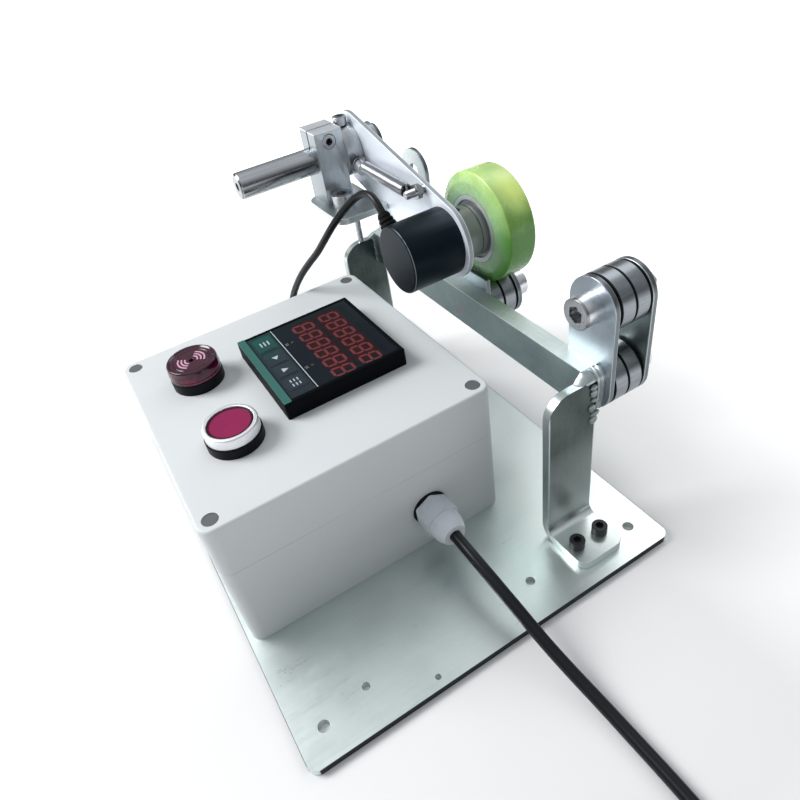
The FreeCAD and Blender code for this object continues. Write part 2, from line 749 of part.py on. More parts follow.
def panel_nuts():
    nuts = []
    for y in (button_y, buzzer_y):
        centre = (control_x, y, under_lid_z - NUT_T)
        nuts.append(hex_nut(centre, (0, 0, 1), (1, 0, 0), NECK_D / 2 + THREAD_FIT, NUT_AF, NUT_T))
    return nuts


# ---- cable gland ----
def gland_gasket():
    ring = rod((gland_x, gland_hex_y, gland_z), (0, 1, 0), GLAND_GASKET_D / 2, GLAND_GASKET_T)
    hole = rod((gland_x, gland_hex_y, gland_z), (0, 1, 0), GLAND_THREAD_D / 2 + THREAD_FIT, GLAND_GASKET_T)
    return ring.cut(hole)


def gland_body():
    """Hexagon outside the wall, a thread through it, a thread under the cap nut and a bore for the cord."""
    bore_r = MAINS_D / 2 + 1.0
    hexa = hexagon((gland_x, gland_nut_y, gland_z), (0, 1, 0), (0, 0, 1), GLAND_AF, GLAND_HEX_T)
    hexa = hexa.common(rod((gland_x, gland_nut_y, gland_z), (0, 1, 0), GLAND_AF * 0.555, GLAND_HEX_T))
    tail_y = box_y0 + BOX_WALL + GLAND_LOCKNUT_T + 1
    tail = rod((gland_x, gland_hex_y, gland_z), (0, 1, 0), GLAND_THREAD_D / 2, tail_y - gland_hex_y)
    nose_y = gland_nut_y - GLAND_NUT_L * 0.45
    nose = rod((gland_x, nose_y, gland_z), (0, 1, 0), GLAND_THREAD_D / 2, gland_nut_y - nose_y)
    body = hexa.fuse([tail, nose])
    return body.cut(rod((gland_x, nose_y, gland_z), (0, 1, 0), bore_r, tail_y - nose_y)).removeSplitter()


def gland_nut():
    """Cap nut: hexagon at its root, then a dome that narrows to the mouth, solid round the cord's seal."""
    root_l = GLAND_NUT_L * 0.42
    y0 = gland_nut_y - root_l
    hexa = hexagon((gland_x, y0, gland_z), (0, 1, 0), (0, 0, 1), GLAND_AF, root_l)
    hexa = hexa.common(rod((gland_x, y0, gland_z), (0, 1, 0), GLAND_AF * 0.555, root_l))
    big = GLAND_AF * 0.49
    small = GLAND_MOUTH_D / 2
    length = GLAND_NUT_L - root_l
    profile = [(0, 0), (0, big), (length * 0.35, big * 0.985), (length * 0.65, (big * 2 + small) / 3),
               (length * 0.88, (big + small * 3) / 4), (length, small), (length, 0)]
    dome = turned(profile, (gland_x, y0, gland_z), (0, -1, 0), (0, 0, 1))
    nut = hexa.fuse(dome)
    nose_l = GLAND_NUT_L * 0.45 + SEAT_GAP
    well = rod((gland_x, gland_nut_y - nose_l, gland_z), (0, 1, 0), GLAND_THREAD_D / 2 + THREAD_FIT, nose_l)
    mouth = rod((gland_x, gland_mouth_y, gland_z), (0, 1, 0), MAINS_D / 2 + CORD_FIT, GLAND_SEAL_DEPTH)
    return nut.cut([well, mouth]).removeSplitter()


def gland_locknut():
    centre = (gland_x, box_y0 + BOX_WALL, gland_z)
    return hex_nut(centre, (0, 1, 0), (0, 0, 1), GLAND_THREAD_D / 2 + THREAD_FIT, GLAND_AF, GLAND_LOCKNUT_T)


def lead_grommet():
    """A rubber ring in the back wall, with a flange on each side."""
    w = BOX_WALL
    f = GROMMET_FLANGE_T
    bore = LEAD_D / 2 + CORD_FIT
    neck = GROMMET_D / 2 - SLIP_FIT
    lip = GROMMET_D / 2 + 1.6
    profile = [(-f, bore), (-f, lip - 0.5), (-f + 0.5, lip), (0, lip), (0, neck), (w, neck), (w, lip),
               (w + f - 0.8, lip), (w + f, lip - 0.8), (w + f, bore)]
    return turned(profile, (grommet_x, box_y1 - w, grommet_z), (0, 1, 0), (0, 0, 1))


# ---- cords ----
def coil_meets():
    """How far before the coil's middle a cord on its outer turn reaches the coil's side."""
    outer = coil_radii()[1]
    return math.sqrt(outer ** 2 - (outer - MAINS_D) ** 2) + CORD_FIT


def mains_route():
    """From the seal in the cap nut, down over the plate's front edge to the table, and to the coil's side."""
    join_x = COIL_CENTRE[0] + coil_radii()[1] - MAINS_D / 2
    return [(gland_x, seal_y, gland_z), (gland_x, gland_mouth_y - MAINS_STRAIGHT, gland_z),
            (5.4, -117.0, 30.4), (6.6, -131.0, 26.2), (8.2, -145.5, 20.6), (9.9, -160.0, 14.6),
            (12.2, -176.5, 9.2), (14.4, -194.0, 5.4), (15.6, -213.0, 3.6), (16.3, -234.0, 3.3),
            (join_x, COIL_CENTRE[1] + coil_meets(), MAINS_D / 2 + FLOOR_GAP)]


def coil_radii():
    inner = COIL_MID_R - MAINS_D * COIL_TURNS_WIDE / 2
    outer = COIL_MID_R + MAINS_D * COIL_TURNS_WIDE / 2
    return inner, outer


def mains_coil():
    inner, outer = coil_radii()
    top = MAINS_D * COIL_LAYERS
    c = 1.6
    profile = [(c, inner), (0.02, inner + c), (0.02, outer - c), (c, outer), (top - c, outer),
               (top, outer - c), (top, inner + c), (top - c, inner)]
    return turned_z(profile, COIL_CENTRE[0], COIL_CENTRE[1])


plug_x1 = COIL_CENTRE[0] - PLUG_FROM_COIL
plug_y = COIL_CENTRE[1] - coil_radii()[1] + MAINS_D / 2
plug_z = PLUG_Z / 2


def tail_route():
    """From the coil's outer upper turn to the plug, along -X."""
    upper = MAINS_D * (COIL_LAYERS - 0.5)
    x = COIL_CENTRE[0]
    first, second = TAIL_BENDS
    return [(x - coil_meets(), plug_y, upper), (x - first, plug_y - TAIL_SWAY, upper + TAIL_RISE),
            (x - second, plug_y, plug_z), (plug_x1, plug_y, plug_z)]


def mains_cord():
    main = cord("mains_cord", mains_route(), MAINS_D / 2)
    tail = cord("mains_tail", tail_route(), MAINS_D / 2)
    return [main, tail]


def mains_plug():
    """Moulded plug lying flat: tapered strain relief, body and two round pins, along -X."""
    x1 = plug_x1 - PLUG_TAPER_L
    x0 = x1 - PLUG_X
    half = PLUG_Y / 2
    bottom, top = plug_z - PLUG_Z / 2 + FLOOR_GAP, plug_z + PLUG_Z / 2
    body = upright_box(x0, x1, plug_y - half, plug_y + half, bottom, top, PLUG_CORNER_R)
    body = body.makeFillet(PLUG_EDGE_R, edges_where(body, lambda box: box.ZLength < TINY))
    taper_base = V(x1 - PLUG_LAP, plug_y, plug_z)
    taper_end_r = MAINS_D / 2 + PLUG_SKIN
    taper = Part.makeCone(PLUG_TAPER_R, taper_end_r, PLUG_TAPER_L + PLUG_LAP, taper_base, V(1, 0, 0))
    pins = []
    for side in (-0.5, 0.5):
        y = plug_y + side * PLUG_PIN_PITCH
        pin = rod_x(x0 - PLUG_PIN_L, x0 + PLUG_LAP, y, plug_z, PLUG_PIN_D / 2)
        pins.append(pin)
    return body.fuse([taper] + pins).removeSplitter()


boot_dir = (0.0, math.cos(math.radians(BOOT_ANGLE)), math.sin(math.radians(BOOT_ANGLE)))
boot_x = enc_x0 + BOOT_FROM_END


def boot_point(distance):
    """A point on the boot's axis, at a distance from the encoder's axis."""
    return (boot_x, boot_dir[1] * distance, wheel_z + boot_dir[2] * distance)


def lead_route():
    """From the boot up in a hump, down behind the box and round into the grommet in its back wall."""
    start = boot_point(ENC_D / 2 + BOOT_L)
    second = boot_point(ENC_D / 2 + BOOT_L + LEAD_STRAIGHT)
    return [start, second, (49.0, 29.1, 167.7), (48.4, 35.3, 167.6), (46.4, 41.0, 165.3),
            (43.0, 45.8, 161.0), (38.4, 50.2, 155.0), (33.4, 55.8, 147.0), (28.9, 63.0, 136.6),
            (24.8, 70.6, 126.2), (20.4, 79.2, 117.0), (16.2, 87.8, 106.8), (12.6, 95.6, 95.4),
            (9.8, 101.8, 83.6), (7.8, 105.4, 72.8), (6.2, 105.8, 62.8), (5.2, 102.2, 53.8),
            (grommet_x, 93.8, grommet_z), (grommet_x, box_y1 - BOX_WALL - GROMMET_FLANGE_T, grommet_z)]


def encoder_lead():
    return cord("encoder_lead", lead_route(), LEAD_D / 2)


# ---- frame ----
def upright(side):
    """Flat bar bent outwards at its foot; the near one is side -1."""
    y_in = upright_in_y
    y_out = upright_out_y
    z0 = PLATE_T
    t = UPRIGHT_T
    r = UPRIGHT_BEND_R
    foot_end = y_out + FOOT_REACH
    x0 = upright_x0
    corner = math.sqrt(0.5)
    inner_c = V(x0, y_out + r, z0 + t + r)
    pts = [V(x0, y_in, upright_top), V(x0, y_in, z0 + t + r), V(x0, y_out + r, z0), V(x0, foot_end, z0),
           V(x0, foot_end, z0 + t), V(x0, y_out + r, z0 + t), V(x0, y_out, z0 + t + r),
           V(x0, y_out, upright_top)]
    outer_mid = inner_c + V(0, -corner, -corner) * (r + t)
    inner_mid = inner_c + V(0, -corner, -corner) * r
    edges = [Part.makeLine(pts[0], pts[1]), Part.Arc(pts[1], outer_mid, pts[2]).toShape(),
             Part.makeLine(pts[2], pts[3]), Part.makeLine(pts[3], pts[4]), Part.makeLine(pts[4], pts[5]),
             Part.Arc(pts[5], inner_mid, pts[6]).toShape(), Part.makeLine(pts[6], pts[7]),
             Part.makeLine(pts[7], pts[0])]
    bar = Part.Face(Part.Wire(edges)).extrude(V(UPRIGHT_W, 0, 0))
    top_corner = edges_where(bar, lambda box: box.ZMin > upright_top - TINY and box.XMax < x0 + TINY)
    bar = bar.makeFillet(UPRIGHT_TOP_R, top_corner)
    foot_corners = edges_where(bar, lambda box: box.YMin > foot_end - TINY and box.XLength < TINY)
    bar = bar.makeFillet(FOOT_CORNER_R, foot_corners)
    holes = []
    for x, y in foot_screw_places():
        if y > 0:
            holes.append(rod_z(x, y, z0, z0 + t, FOOT_SCREW_D / 2 + PASS_FIT))
    bar = bar.cut(holes)
    if side < 0:
        bar = bar.mirror(V(0, 0, 0), V(0, 1, 0))
    return bar


def foot_screws():
    screws = []
    for x, y in foot_screw_places():
        seat = (x, y, PLATE_T + UPRIGHT_T)
        length = UPRIGHT_T + PLATE_T - SCREW_END_GAP
        screws.append(cap_screw(seat, (0, 0, -1), (1, 0, 0), FOOT_SCREW_D, M5_HEAD_D, M5_HEAD_H, length))
    return screws


def crossbar():
    bar = block(bar_x0, bar_x1, -upright_in_y, upright_in_y, bar_top - BAR_H, bar_top)
    taps = []
    for y in (-end_y, 0, end_y):
        taps.append(rod_x(bar_x0, bar_x1, y, lower_z, BOLT_D / 2 + SLIP_FIT))
    return bar.cut(taps)


def bolt_hole(x0, y, z):
    return rod_x(x0, x0 + CHEEK_T, y, z, BOLT_D / 2 + SLIP_FIT)


def long_cheek(x0, low, high):
    """A cheek between two bolt holes, each given as y and z."""
    cheek = plate_yz(x0, CHEEK_T, ((*low, cheek_r), high))
    return cheek.cut([bolt_hole(x0, *low), bolt_hole(x0, *high)])


def far_inner_cheek():
    """The far inner cheek has no upper hole; it reaches up to hold the end of the pivot shaft."""
    cheek = plate_yz(inner_x0, CHEEK_T, ((end_y, lower_z, cheek_r), (end_y, upper_z)))
    lug = plate_yz(inner_x0, CHEEK_T, ((end_y, upper_z, PIVOT_LUG_R), (pivot_y, pivot_z)))
    hole = rod_x(inner_x0, inner_x1, pivot_y, pivot_z, PIVOT_END_D / 2 + SLIP_FIT)
    cheek = cheek.fuse(lug).removeSplitter()
    return cheek.cut([bolt_hole(inner_x0, end_y, lower_z), hole])


def mid_inner_cheek():
    cheek = plate_yz(inner_x0, CHEEK_T, ((0, lower_z, cheek_r), (0, upper_z)), square_top=MID_CHEEK_UP)
    return cheek.cut(bolt_hole(inner_x0, 0, lower_z))


def outer_cheeks():
    """The far one hangs on its lower bolt alone, a little swung, with its upper hole open."""
    near = long_cheek(outer_x0, (-end_y, lower_z), (-end_y, upper_z))
    mid = rod_x(outer_x0, outer_x1, 0, lower_z, cheek_r).cut(bolt_hole(outer_x0, 0, lower_z))
    swing = math.radians(FAR_CHEEK_SWING)
    hole_y = end_y - FAR_CHEEK_PITCH * math.sin(swing)
    hole_z = lower_z + FAR_CHEEK_PITCH * math.cos(swing)
    far = long_cheek(outer_x0, (end_y, lower_z), (hole_y, hole_z))
    return [near, mid, far]


def upper_axes():
    """Only the near bracket carries an upper roller."""
    return [(-end_y, upper_z)]


def lower_axes():
    return [(-end_y, lower_z), (0, lower_z), (end_y, lower_z)]


def roller_bolts():
    """Upper bolts enter from the bar's side and take a nut; lower ones enter from outside into the bar."""
    bolts = []
    up = (0, 0, 1)
    for y, z in upper_axes():
        length = outer_x1 + BOLT_NUT_T + BOLT_TAIL - inner_x0
        bolts.append(cap_screw((inner_x0, y, z), (1, 0, 0), up, BOLT_D, BOLT_HEAD_D, BOLT_HEAD_H, length))
    for y, z in lower_axes():
        length = outer_x1 - bar_x0
        bolts.append(cap_screw((outer_x1, y, z), (-1, 0, 0), up, BOLT_D, BOLT_HEAD_D, BOLT_HEAD_H, length))
    return bolts


def roller_nuts():
    nuts = []
    for y, z in upper_axes():
        bore_r = BOLT_D / 2 + SLIP_FIT
        nuts.append(hex_nut((outer_x1, y, z), (1, 0, 0), (0, 0, 1), bore_r, BOLT_NUT_AF, BOLT_NUT_T))
    return nuts


def roller_spacers():
    shims = []
    for y, z in upper_axes() + lower_axes():
        for x0 in (inner_x1, ring_x1):
            ring = rod_x(x0, x0 + SHIM_T, y, z, SHIM_D / 2)
            shims.append(ring.cut(rod_x(x0, x0 + SHIM_T, y, z, BOLT_D / 2 + SLIP_FIT)))
    return shims


def inner_ring(x0, y, z):
    r0 = BEARING_BORE / 2 + SLIP_FIT
    r1 = BEARING_INNER_OD / 2
    c = 0.4
    x1 = x0 + BEARING_W
    return turned_x([(x0, r0), (x0, r1 - c), (x0 + c, r1), (x1 - c, r1), (x1, r1 - c), (x1, r0)], y, z)


def bearing_inner_rings():
    rings = []
    for y, z in upper_axes() + lower_axes():
        for i in range(2):
            rings.append(inner_ring(ring_x0 + i * BEARING_W, y, z))
    return rings


def outer_ring(x0, y, z):
    """Outer ring with both shields, which reach in to the inner ring."""
    x1 = x0 + BEARING_W
    c = BEARING_CHAMFER
    s = BEARING_SHIELD_IN
    r = BEARING_OD / 2
    shield_r = BEARING_INNER_OD / 2 + 2 * RUN_FIT
    profile = [(x0 + s, shield_r), (x0 + s, BEARING_RACE_R), (x0, BEARING_RACE_R), (x0, r - c), (x0 + c, r),
               (x1 - c, r), (x1, r - c), (x1, BEARING_RACE_R), (x1 - s, BEARING_RACE_R), (x1 - s, shield_r)]
    return turned_x(profile, y, z)


def roller(y, z):
    return [outer_ring(ring_x0, y, z), outer_ring(ring_x0 + BEARING_W, y, z)]


# ---- measuring wheel and encoder ----
def wheel_tyre():
    r = wheel_r
    c_r, c_x = TYRE_CHAMFER_R, TYRE_CHAMFER_X
    profile = [(wheel_x0, tyre_bore_r), (wheel_x0, r - c_r), (wheel_x0 + c_x, r), (wheel_x1 - c_x * 0.4, r),
               (wheel_x1, r - c_x * 0.4), (wheel_x1, tyre_bore_r)]
    return turned_x(profile, 0, wheel_z)


def wheel_hub():
    """Aluminium hub: rim under the tyre, a web near its left face, and a boss with a set screw hole."""
    bore = ENC_SHAFT_D / 2 + SLIP_FIT
    rim = tyre_bore_r
    under_rim = rim - HUB_RIM_T
    web0 = wheel_x0 + HUB_WEB_DROP
    web1 = web0 + HUB_WEB_T
    groove = wheel_x0 - 3.0
    groove_x0 = groove - BOSS_GROOVE_W
    c = BOSS_CHAMFER
    profile = [(boss_x0, bore), (boss_x0, BOSS_R - c), (boss_x0 + c, BOSS_R), (groove_x0, BOSS_R),
               (groove_x0, BOSS_GROOVE_R), (groove, BOSS_GROOVE_R), (groove, BOSS_R),
               (web0, BOSS_R), (web0, under_rim), (wheel_x0, under_rim), (wheel_x0, rim), (wheel_x1, rim),
               (wheel_x1, under_rim), (web1, under_rim), (web1, bore)]
    hub = turned_x(profile, 0, wheel_z)
    x = boss_x0 + 4.5
    return hub.cut(rod((x, 0, wheel_z), (0, 0, 1), SET_HOLE_D / 2, BOSS_R + 1))


def encoder_shaft():
    return rod_x(arm_x0 - ENC_SHAFT_IN, wheel_xc, 0, wheel_z, ENC_SHAFT_D / 2)


def encoder_body():
    """Round housing with softened edges, a pilot through the arm, a shaft bore and a seat for the boot."""
    can = rod_x(enc_x0, arm_x0, 0, wheel_z, ENC_D / 2)
    can = can.makeFillet(ENC_EDGE_R, edges_where(can, lambda box: box.XMax < enc_x0 + TINY))
    pilot = rod_x(arm_x0, arm_x1, 0, wheel_z, ENC_PILOT_D / 2 - SLIP_FIT)
    bore = rod_x(arm_x0 - ENC_SHAFT_IN - 0.5, arm_x1, 0, wheel_z, ENC_SHAFT_D / 2 + RUN_FIT)
    seat = rod(boot_point(ENC_D / 2 - 2.0), boot_dir, BOOT_D / 2, 6.0)
    return can.fuse(pilot).cut([bore, seat])


def encoder_boot():
    """Stepped rubber sleeve round the lead where it leaves the encoder."""
    base = ENC_D / 2 - 2.0
    length = BOOT_L + 2.0
    step = BOOT_L / (2.0 * BOOT_STEPS)
    profile = [(0, 0), (0, BOOT_D / 2 - SLIP_FIT), (2.0, BOOT_D / 2 - SLIP_FIT)]
    big = BOOT_D / 2 + 0.6
    small = LEAD_D / 2 + 0.9
    for i in range(BOOT_STEPS):
        a = 2.3 + 2 * i * step
        profile += [(a, big), (a + step, big), (a + step, small), (a + 2 * step - 0.3, small)]
        big -= 0.5
    profile[-1] = (length, small)
    profile.append((length, 0))
    return turned(profile, boot_point(base), boot_dir, (1, 0, 0))


# ---- arm and pivot ----
def arm_plate():
    arm = plate_yz(arm_x0, ARM_T, ((0, wheel_z, ARM_R), (pivot_y, pivot_z)))
    pilot = rod_x(arm_x0, arm_x1, 0, wheel_z, ENC_PILOT_D / 2)
    pivot = rod_x(arm_x0, arm_x1, pivot_y, pivot_z, PIVOT_D / 2 + RUN_FIT)
    tap = rod_x(arm_x0, arm_x1, post_y, post_z, POST_D / 2)
    return arm.cut([pilot, pivot, tap])


def arm_hub():
    """Bush on the arm's back that turns on the pivot shaft."""
    x1 = inner_x0 - SEAT_GAP
    hub = rod_x(arm_x1, x1, pivot_y, pivot_z, ARM_HUB_R)
    return hub.cut(rod_x(arm_x1, x1, pivot_y, pivot_z, PIVOT_D / 2 + RUN_FIT))


def pivot_shaft():
    r = PIVOT_D / 2
    c = PIVOT_CHAMFER
    drill = CENTRE_DRILL_D / 2
    x0 = shaft_x0
    profile = [(x0 + 5.0, 0), (x0 + 4.0, drill * 0.6), (x0 + 1.2, drill * 0.6), (x0, drill), (x0, r - c),
               (x0 + c, r), (inner_x0, r), (inner_x0, PIVOT_END_D / 2), (inner_x1, PIVOT_END_D / 2),
               (inner_x1, 0)]
    return turned_x(profile, pivot_y, pivot_z)


def collar_direction(angle):
    a = math.radians(angle)
    return (0.0, math.cos(a), math.sin(a))


def spring_collar():
    ring = rod_x(collar_x0, collar_x1, pivot_y, pivot_z, COLLAR_R)
    holes = [rod_x(collar_x0, collar_x1, pivot_y, pivot_z, PIVOT_D / 2 + SLIP_FIT)]
    tap_r = COLLAR_SCREW_D / 2 + THREAD_FIT
    for angle in (90.0, ANCHOR_ANGLE):
        holes.append(rod((anchor_x, pivot_y, pivot_z), collar_direction(angle), tap_r, COLLAR_R + 1))
    return ring.cut(holes)


def collar_screws():
    """One clamps the collar on the shaft from above; the other stands out and holds the spring's hook."""
    screws = []
    for angle, stand_off in ((90.0, SEAT_GAP), (ANCHOR_ANGLE, 2 * SPRING_STAND_OFF + 1.0)):
        d = collar_direction(angle)
        reach = COLLAR_R + stand_off
        seat = (anchor_x, pivot_y + d[1] * reach, pivot_z + d[2] * reach)
        inward = (0.0, -d[1], -d[2])
        length = reach - PIVOT_D / 2 - SLIP_FIT * 2
        screws.append(cap_screw(seat, inward, (1, 0, 0), COLLAR_SCREW_D, M5_HEAD_D, M5_HEAD_H, length))
    return screws


def clamp_block():
    """Split block: bore for the shaft, a slot from the bore up through the top, and a screw across it."""
    y1 = block_y0 + BLOCK_Y
    top = pivot_z + BLOCK_ABOVE
    body = block(block_x0, block_x1, block_y0, y1, bracket_top, top)
    bore = rod_x(block_x0, block_x1, pivot_y, pivot_z, PIVOT_D / 2 + SLIP_FIT)
    slot = block(block_x0, block_x1, pivot_y - BLOCK_SLOT / 2, pivot_y + BLOCK_SLOT / 2, pivot_z, top)
    xc = (block_x0 + block_x1) / 2
    z = top - CLAMP_SCREW_DROP
    through = rod((xc, block_y0, z), (0, 1, 0), CLAMP_SCREW_D / 2 + THREAD_FIT, BLOCK_Y)
    counter = rod((xc, block_y0, z), (0, 1, 0), M5_HEAD_D / 2 + PASS_FIT, M5_HEAD_H)
    return body.cut([bore, slot, through, counter])


def clamp_screw():
    xc = (block_x0 + block_x1) / 2
    z = pivot_z + BLOCK_ABOVE - CLAMP_SCREW_DROP
    seat = (xc, block_y0 + M5_HEAD_H, z)
    length = BLOCK_Y - M5_HEAD_H - CLAMP_SCREW_SHORT
    return cap_screw(seat, (0, 1, 0), (1, 0, 0), CLAMP_SCREW_D, M5_HEAD_D, M5_HEAD_H, length)


bracket_screw_x = bracket_x0 + BRACKET_SCREW_IN
bracket_screw_y = pivot_y - BRACKET_SCREW_FRONT


def bracket_plate():
    z0 = bracket_top - BRACKET_T
    plate = block(bracket_x0, bracket_x1, bracket_y0, bracket_y1, z0, bracket_top)
    corners = edges_where(plate, lambda box: box.XMax < bracket_x0 + TINY and box.YLength < TINY)
    plate = plate.makeFillet(BRACKET_CORNER_R, corners)
    tap_r = BRACKET_SCREW_D / 2 + THREAD_FIT
    return plate.cut(rod_z(bracket_screw_x, bracket_screw_y, z0, bracket_top, tap_r))


def bracket_screw():
    seat = (bracket_screw_x, bracket_screw_y, bracket_top)
    length = BRACKET_T + BRACKET_SCREW_BELOW
    return cap_screw(seat, (0, 0, -1), (1, 0, 0), BRACKET_SCREW_D, BRACKET_HEAD_D, BRACKET_HEAD_H, length)


def stop_pin():
    """Round pin between the bracket plate and the far upright's top, which keeps the clamp from turning."""
    x = upright_x1 - STOP_PIN_FROM_EDGE
    y = upright_in_y + UPRIGHT_T / 2
    return rod_z(x, y, upright_top, bracket_top - BRACKET_T, STOP_PIN_D / 2)


def spring_post():
    r = POST_D / 2
    head = POST_HEAD_D / 2
    x0 = post_x0
    profile = [(x0, 0), (x0, head - 0.5), (x0 + 0.5, head), (x0 + POST_HEAD_T, head), (x0 + POST_HEAD_T, r),
               (arm_x1, r), (arm_x1, 0)]
    return turned_x(profile, post_y, post_z)


def return_spring():
    """Extension spring from the post to the collar's screw: close turns with a hook at each end."""
    out = V(*collar_direction(ANCHOR_ANGLE))
    pivot = V(anchor_x, pivot_y, pivot_z)
    far = pivot + out * (COLLAR_R + SPRING_STAND_OFF)
    near = V(post_x0 + POST_HEAD_T + SPRING_STAND_OFF, post_y, post_z)
    axis = (far - near).normalize()
    across = V(1, 0, 0).cross(axis).normalize()
    body_start = near + axis * SPRING_HOOK
    body_end = far - axis * SPRING_FAR_HOOK
    length = (body_end - body_start).Length
    turns = int(length / SPRING_WIRE)
    pitch = length / turns
    outer = SPRING_D / 2
    inner = outer - SPRING_WIRE
    profile = [(0, inner)]
    for i in range(turns):
        profile += [(i * pitch, outer - SPRING_SCALLOP), ((i + 0.5) * pitch, outer)]
    profile += [(length, outer - SPRING_SCALLOP), (length, inner)]
    coil = turned(profile, tuple(body_start), tuple(axis), tuple(across))
    ring_r = (POST_D + SPRING_WIRE) / 2 + RUN_FIT * 3
    near_ring = Part.makeTorus(ring_r, SPRING_WIRE / 2, near, V(1, 0, 0))
    far_ring = Part.makeTorus(ring_r, SPRING_WIRE / 2, far, out)
    mid_r = outer - SPRING_WIRE / 2
    neck_r = SPRING_WIRE / 2 - HOOK_THIN
    near_wire = Part.makeCylinder(neck_r, SPRING_HOOK + SPRING_WIRE / 2 - ring_r, near + axis * ring_r, axis)
    near_bridge = Part.makeCylinder(mid_r, SPRING_WIRE, body_start, axis)
    up = out.cross(V(1, 0, 0)).normalize()
    side = M5_HEAD_D / 2 + SPRING_WIRE
    last_turn = body_end - axis * (SPRING_WIRE / 2)
    route = [far + up * ring_r, far + up * side, last_turn + across * side, last_turn + across * mid_r]
    far_wire = routed_tube([tuple(p) for p in route], neck_r)[0]
    return coil.fuse([near_ring, far_ring, near_bridge, near_wire, far_wire])


def build():
    os.makedirs("parts", exist_ok=True)
    save("base_plate", base_plate())
    save("enclosure_base", enclosure_base())
    save("enclosure_lid", enclosure_lid())
    save("lid_screws", *lid_screws())
    save("lid_screw_caps", *lid_screw_caps())
    save("enclosure_screws", *enclosure_screws())
    save("meter_case", meter_case())
    save("meter_front_panel", meter_front_panel())
    save("meter_display", meter_display())
    save("button_base", button_base())
    save("button_bezel", button_bezel())
    save("button_cap", button_cap())
    save("button_spring", button_spring())
    save("button_contact_block", button_contact_block())
    save("buzzer_base", buzzer_base())
    save("buzzer_cap", buzzer_cap())
    save("panel_nuts", *panel_nuts())
    save("gland_gasket", gland_gasket())
    save("gland_body", gland_body())
    save("gland_nut", gland_nut())
    save("gland_locknut", gland_locknut())
    save("lead_grommet", lead_grommet())
    save("mains_coil", mains_coil())
    save("mains_cord", *mains_cord())
    save("mains_plug", mains_plug())
    save("encoder_lead", encoder_lead())
    save("near_upright", upright(-1))
    save("far_upright", upright(1))
    save("foot_screws", *foot_screws())
    save("crossbar", crossbar())
    save("near_inner_cheek", long_cheek(inner_x0, (-end_y, lower_z), (-end_y, upper_z)))
    save("mid_inner_cheek", mid_inner_cheek())
    save("far_inner_cheek", far_inner_cheek())
    save("outer_cheeks", *outer_cheeks())
    save("roller_bolts", *roller_bolts())
    save("roller_nuts", *roller_nuts())
    save("roller_spacers", *roller_spacers())
    save("bearing_inner_rings", *bearing_inner_rings())
    save("near_upper_roller", *roller(-end_y, upper_z))
    save("near_lower_roller", *roller(-end_y, lower_z))
    save("mid_roller", *roller(0, lower_z))
    save("far_lower_roller", *roller(end_y, lower_z))
    save("wheel_tyre", wheel_tyre())
    save("wheel_hub", wheel_hub())
    save("encoder_shaft", encoder_shaft())
    save("encoder_body", encoder_body())
    save("encoder_boot", encoder_boot())
    save("arm_plate", arm_plate())
    save("arm_hub", arm_hub())
    save("pivot_shaft", pivot_shaft())
    save("spring_collar", spring_collar())
    save("collar_screws", *collar_screws())
    save("clamp_block", clamp_block())
    save("clamp_screw", clamp_screw())
    save("bracket_plate", bracket_plate())
    save("bracket_screw", bracket_screw())
    save("stop_pin", stop_pin())
    save("spring_post", spring_post())
    save("return_spring", return_spring())
    print("pivot at y %.3f z %.3f" % (pivot_y, pivot_z))
    print("wheel axis z %.3f  centre x %.3f" % (wheel_z, wheel_xc))
    print("lower axis z %.3f  upper axis z %.3f  end bracket y %.3f" % (lower_z, upper_z, end_y))


build()
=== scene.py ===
# %% [markdown]
# # Cable length counter
# A steel base plate carries a grey plastic control box and a welded roller frame. Cable
# runs over the rollers, and a sprung arm presses a soft measuring wheel onto it. The packed
# solids come first: they fix every size and every moving body, and the cells below dress
# them. Nothing here is moved, so each new piece is made straight in its place.

# %% Load the frame
import json
import math

import bmesh
import bpy
import numpy as np
from mathutils import Matrix

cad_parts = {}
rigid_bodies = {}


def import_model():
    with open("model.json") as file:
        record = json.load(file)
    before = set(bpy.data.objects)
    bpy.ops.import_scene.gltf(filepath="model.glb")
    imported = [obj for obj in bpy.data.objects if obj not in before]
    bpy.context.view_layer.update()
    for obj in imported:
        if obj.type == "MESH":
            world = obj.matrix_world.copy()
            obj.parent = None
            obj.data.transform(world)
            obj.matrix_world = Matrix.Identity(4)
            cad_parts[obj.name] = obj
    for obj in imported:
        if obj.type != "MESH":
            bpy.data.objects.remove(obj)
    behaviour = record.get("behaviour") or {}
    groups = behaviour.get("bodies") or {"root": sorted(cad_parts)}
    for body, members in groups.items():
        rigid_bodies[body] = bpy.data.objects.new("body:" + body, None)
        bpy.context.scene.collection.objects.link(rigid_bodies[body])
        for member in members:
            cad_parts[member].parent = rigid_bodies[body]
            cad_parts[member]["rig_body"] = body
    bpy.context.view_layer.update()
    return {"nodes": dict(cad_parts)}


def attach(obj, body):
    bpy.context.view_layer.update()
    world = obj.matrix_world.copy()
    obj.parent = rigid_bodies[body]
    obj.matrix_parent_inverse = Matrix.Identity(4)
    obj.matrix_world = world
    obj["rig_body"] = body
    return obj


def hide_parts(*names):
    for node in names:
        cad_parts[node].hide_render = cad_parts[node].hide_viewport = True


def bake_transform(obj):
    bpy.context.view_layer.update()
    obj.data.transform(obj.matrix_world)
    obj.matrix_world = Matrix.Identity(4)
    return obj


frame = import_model()
nodes = frame["nodes"]
slot_of = {name: node.data.materials[0].name.split(".")[0] for name, node in nodes.items()}
MM, MM_PER_METRE = 0.001, 1000

# %% [markdown]
# ## Camera
# The camera stands in front of the box's left corner and looks down on it. A matrix of its
# right, up and back directions turns it exactly; three angles would say the same less
# plainly.

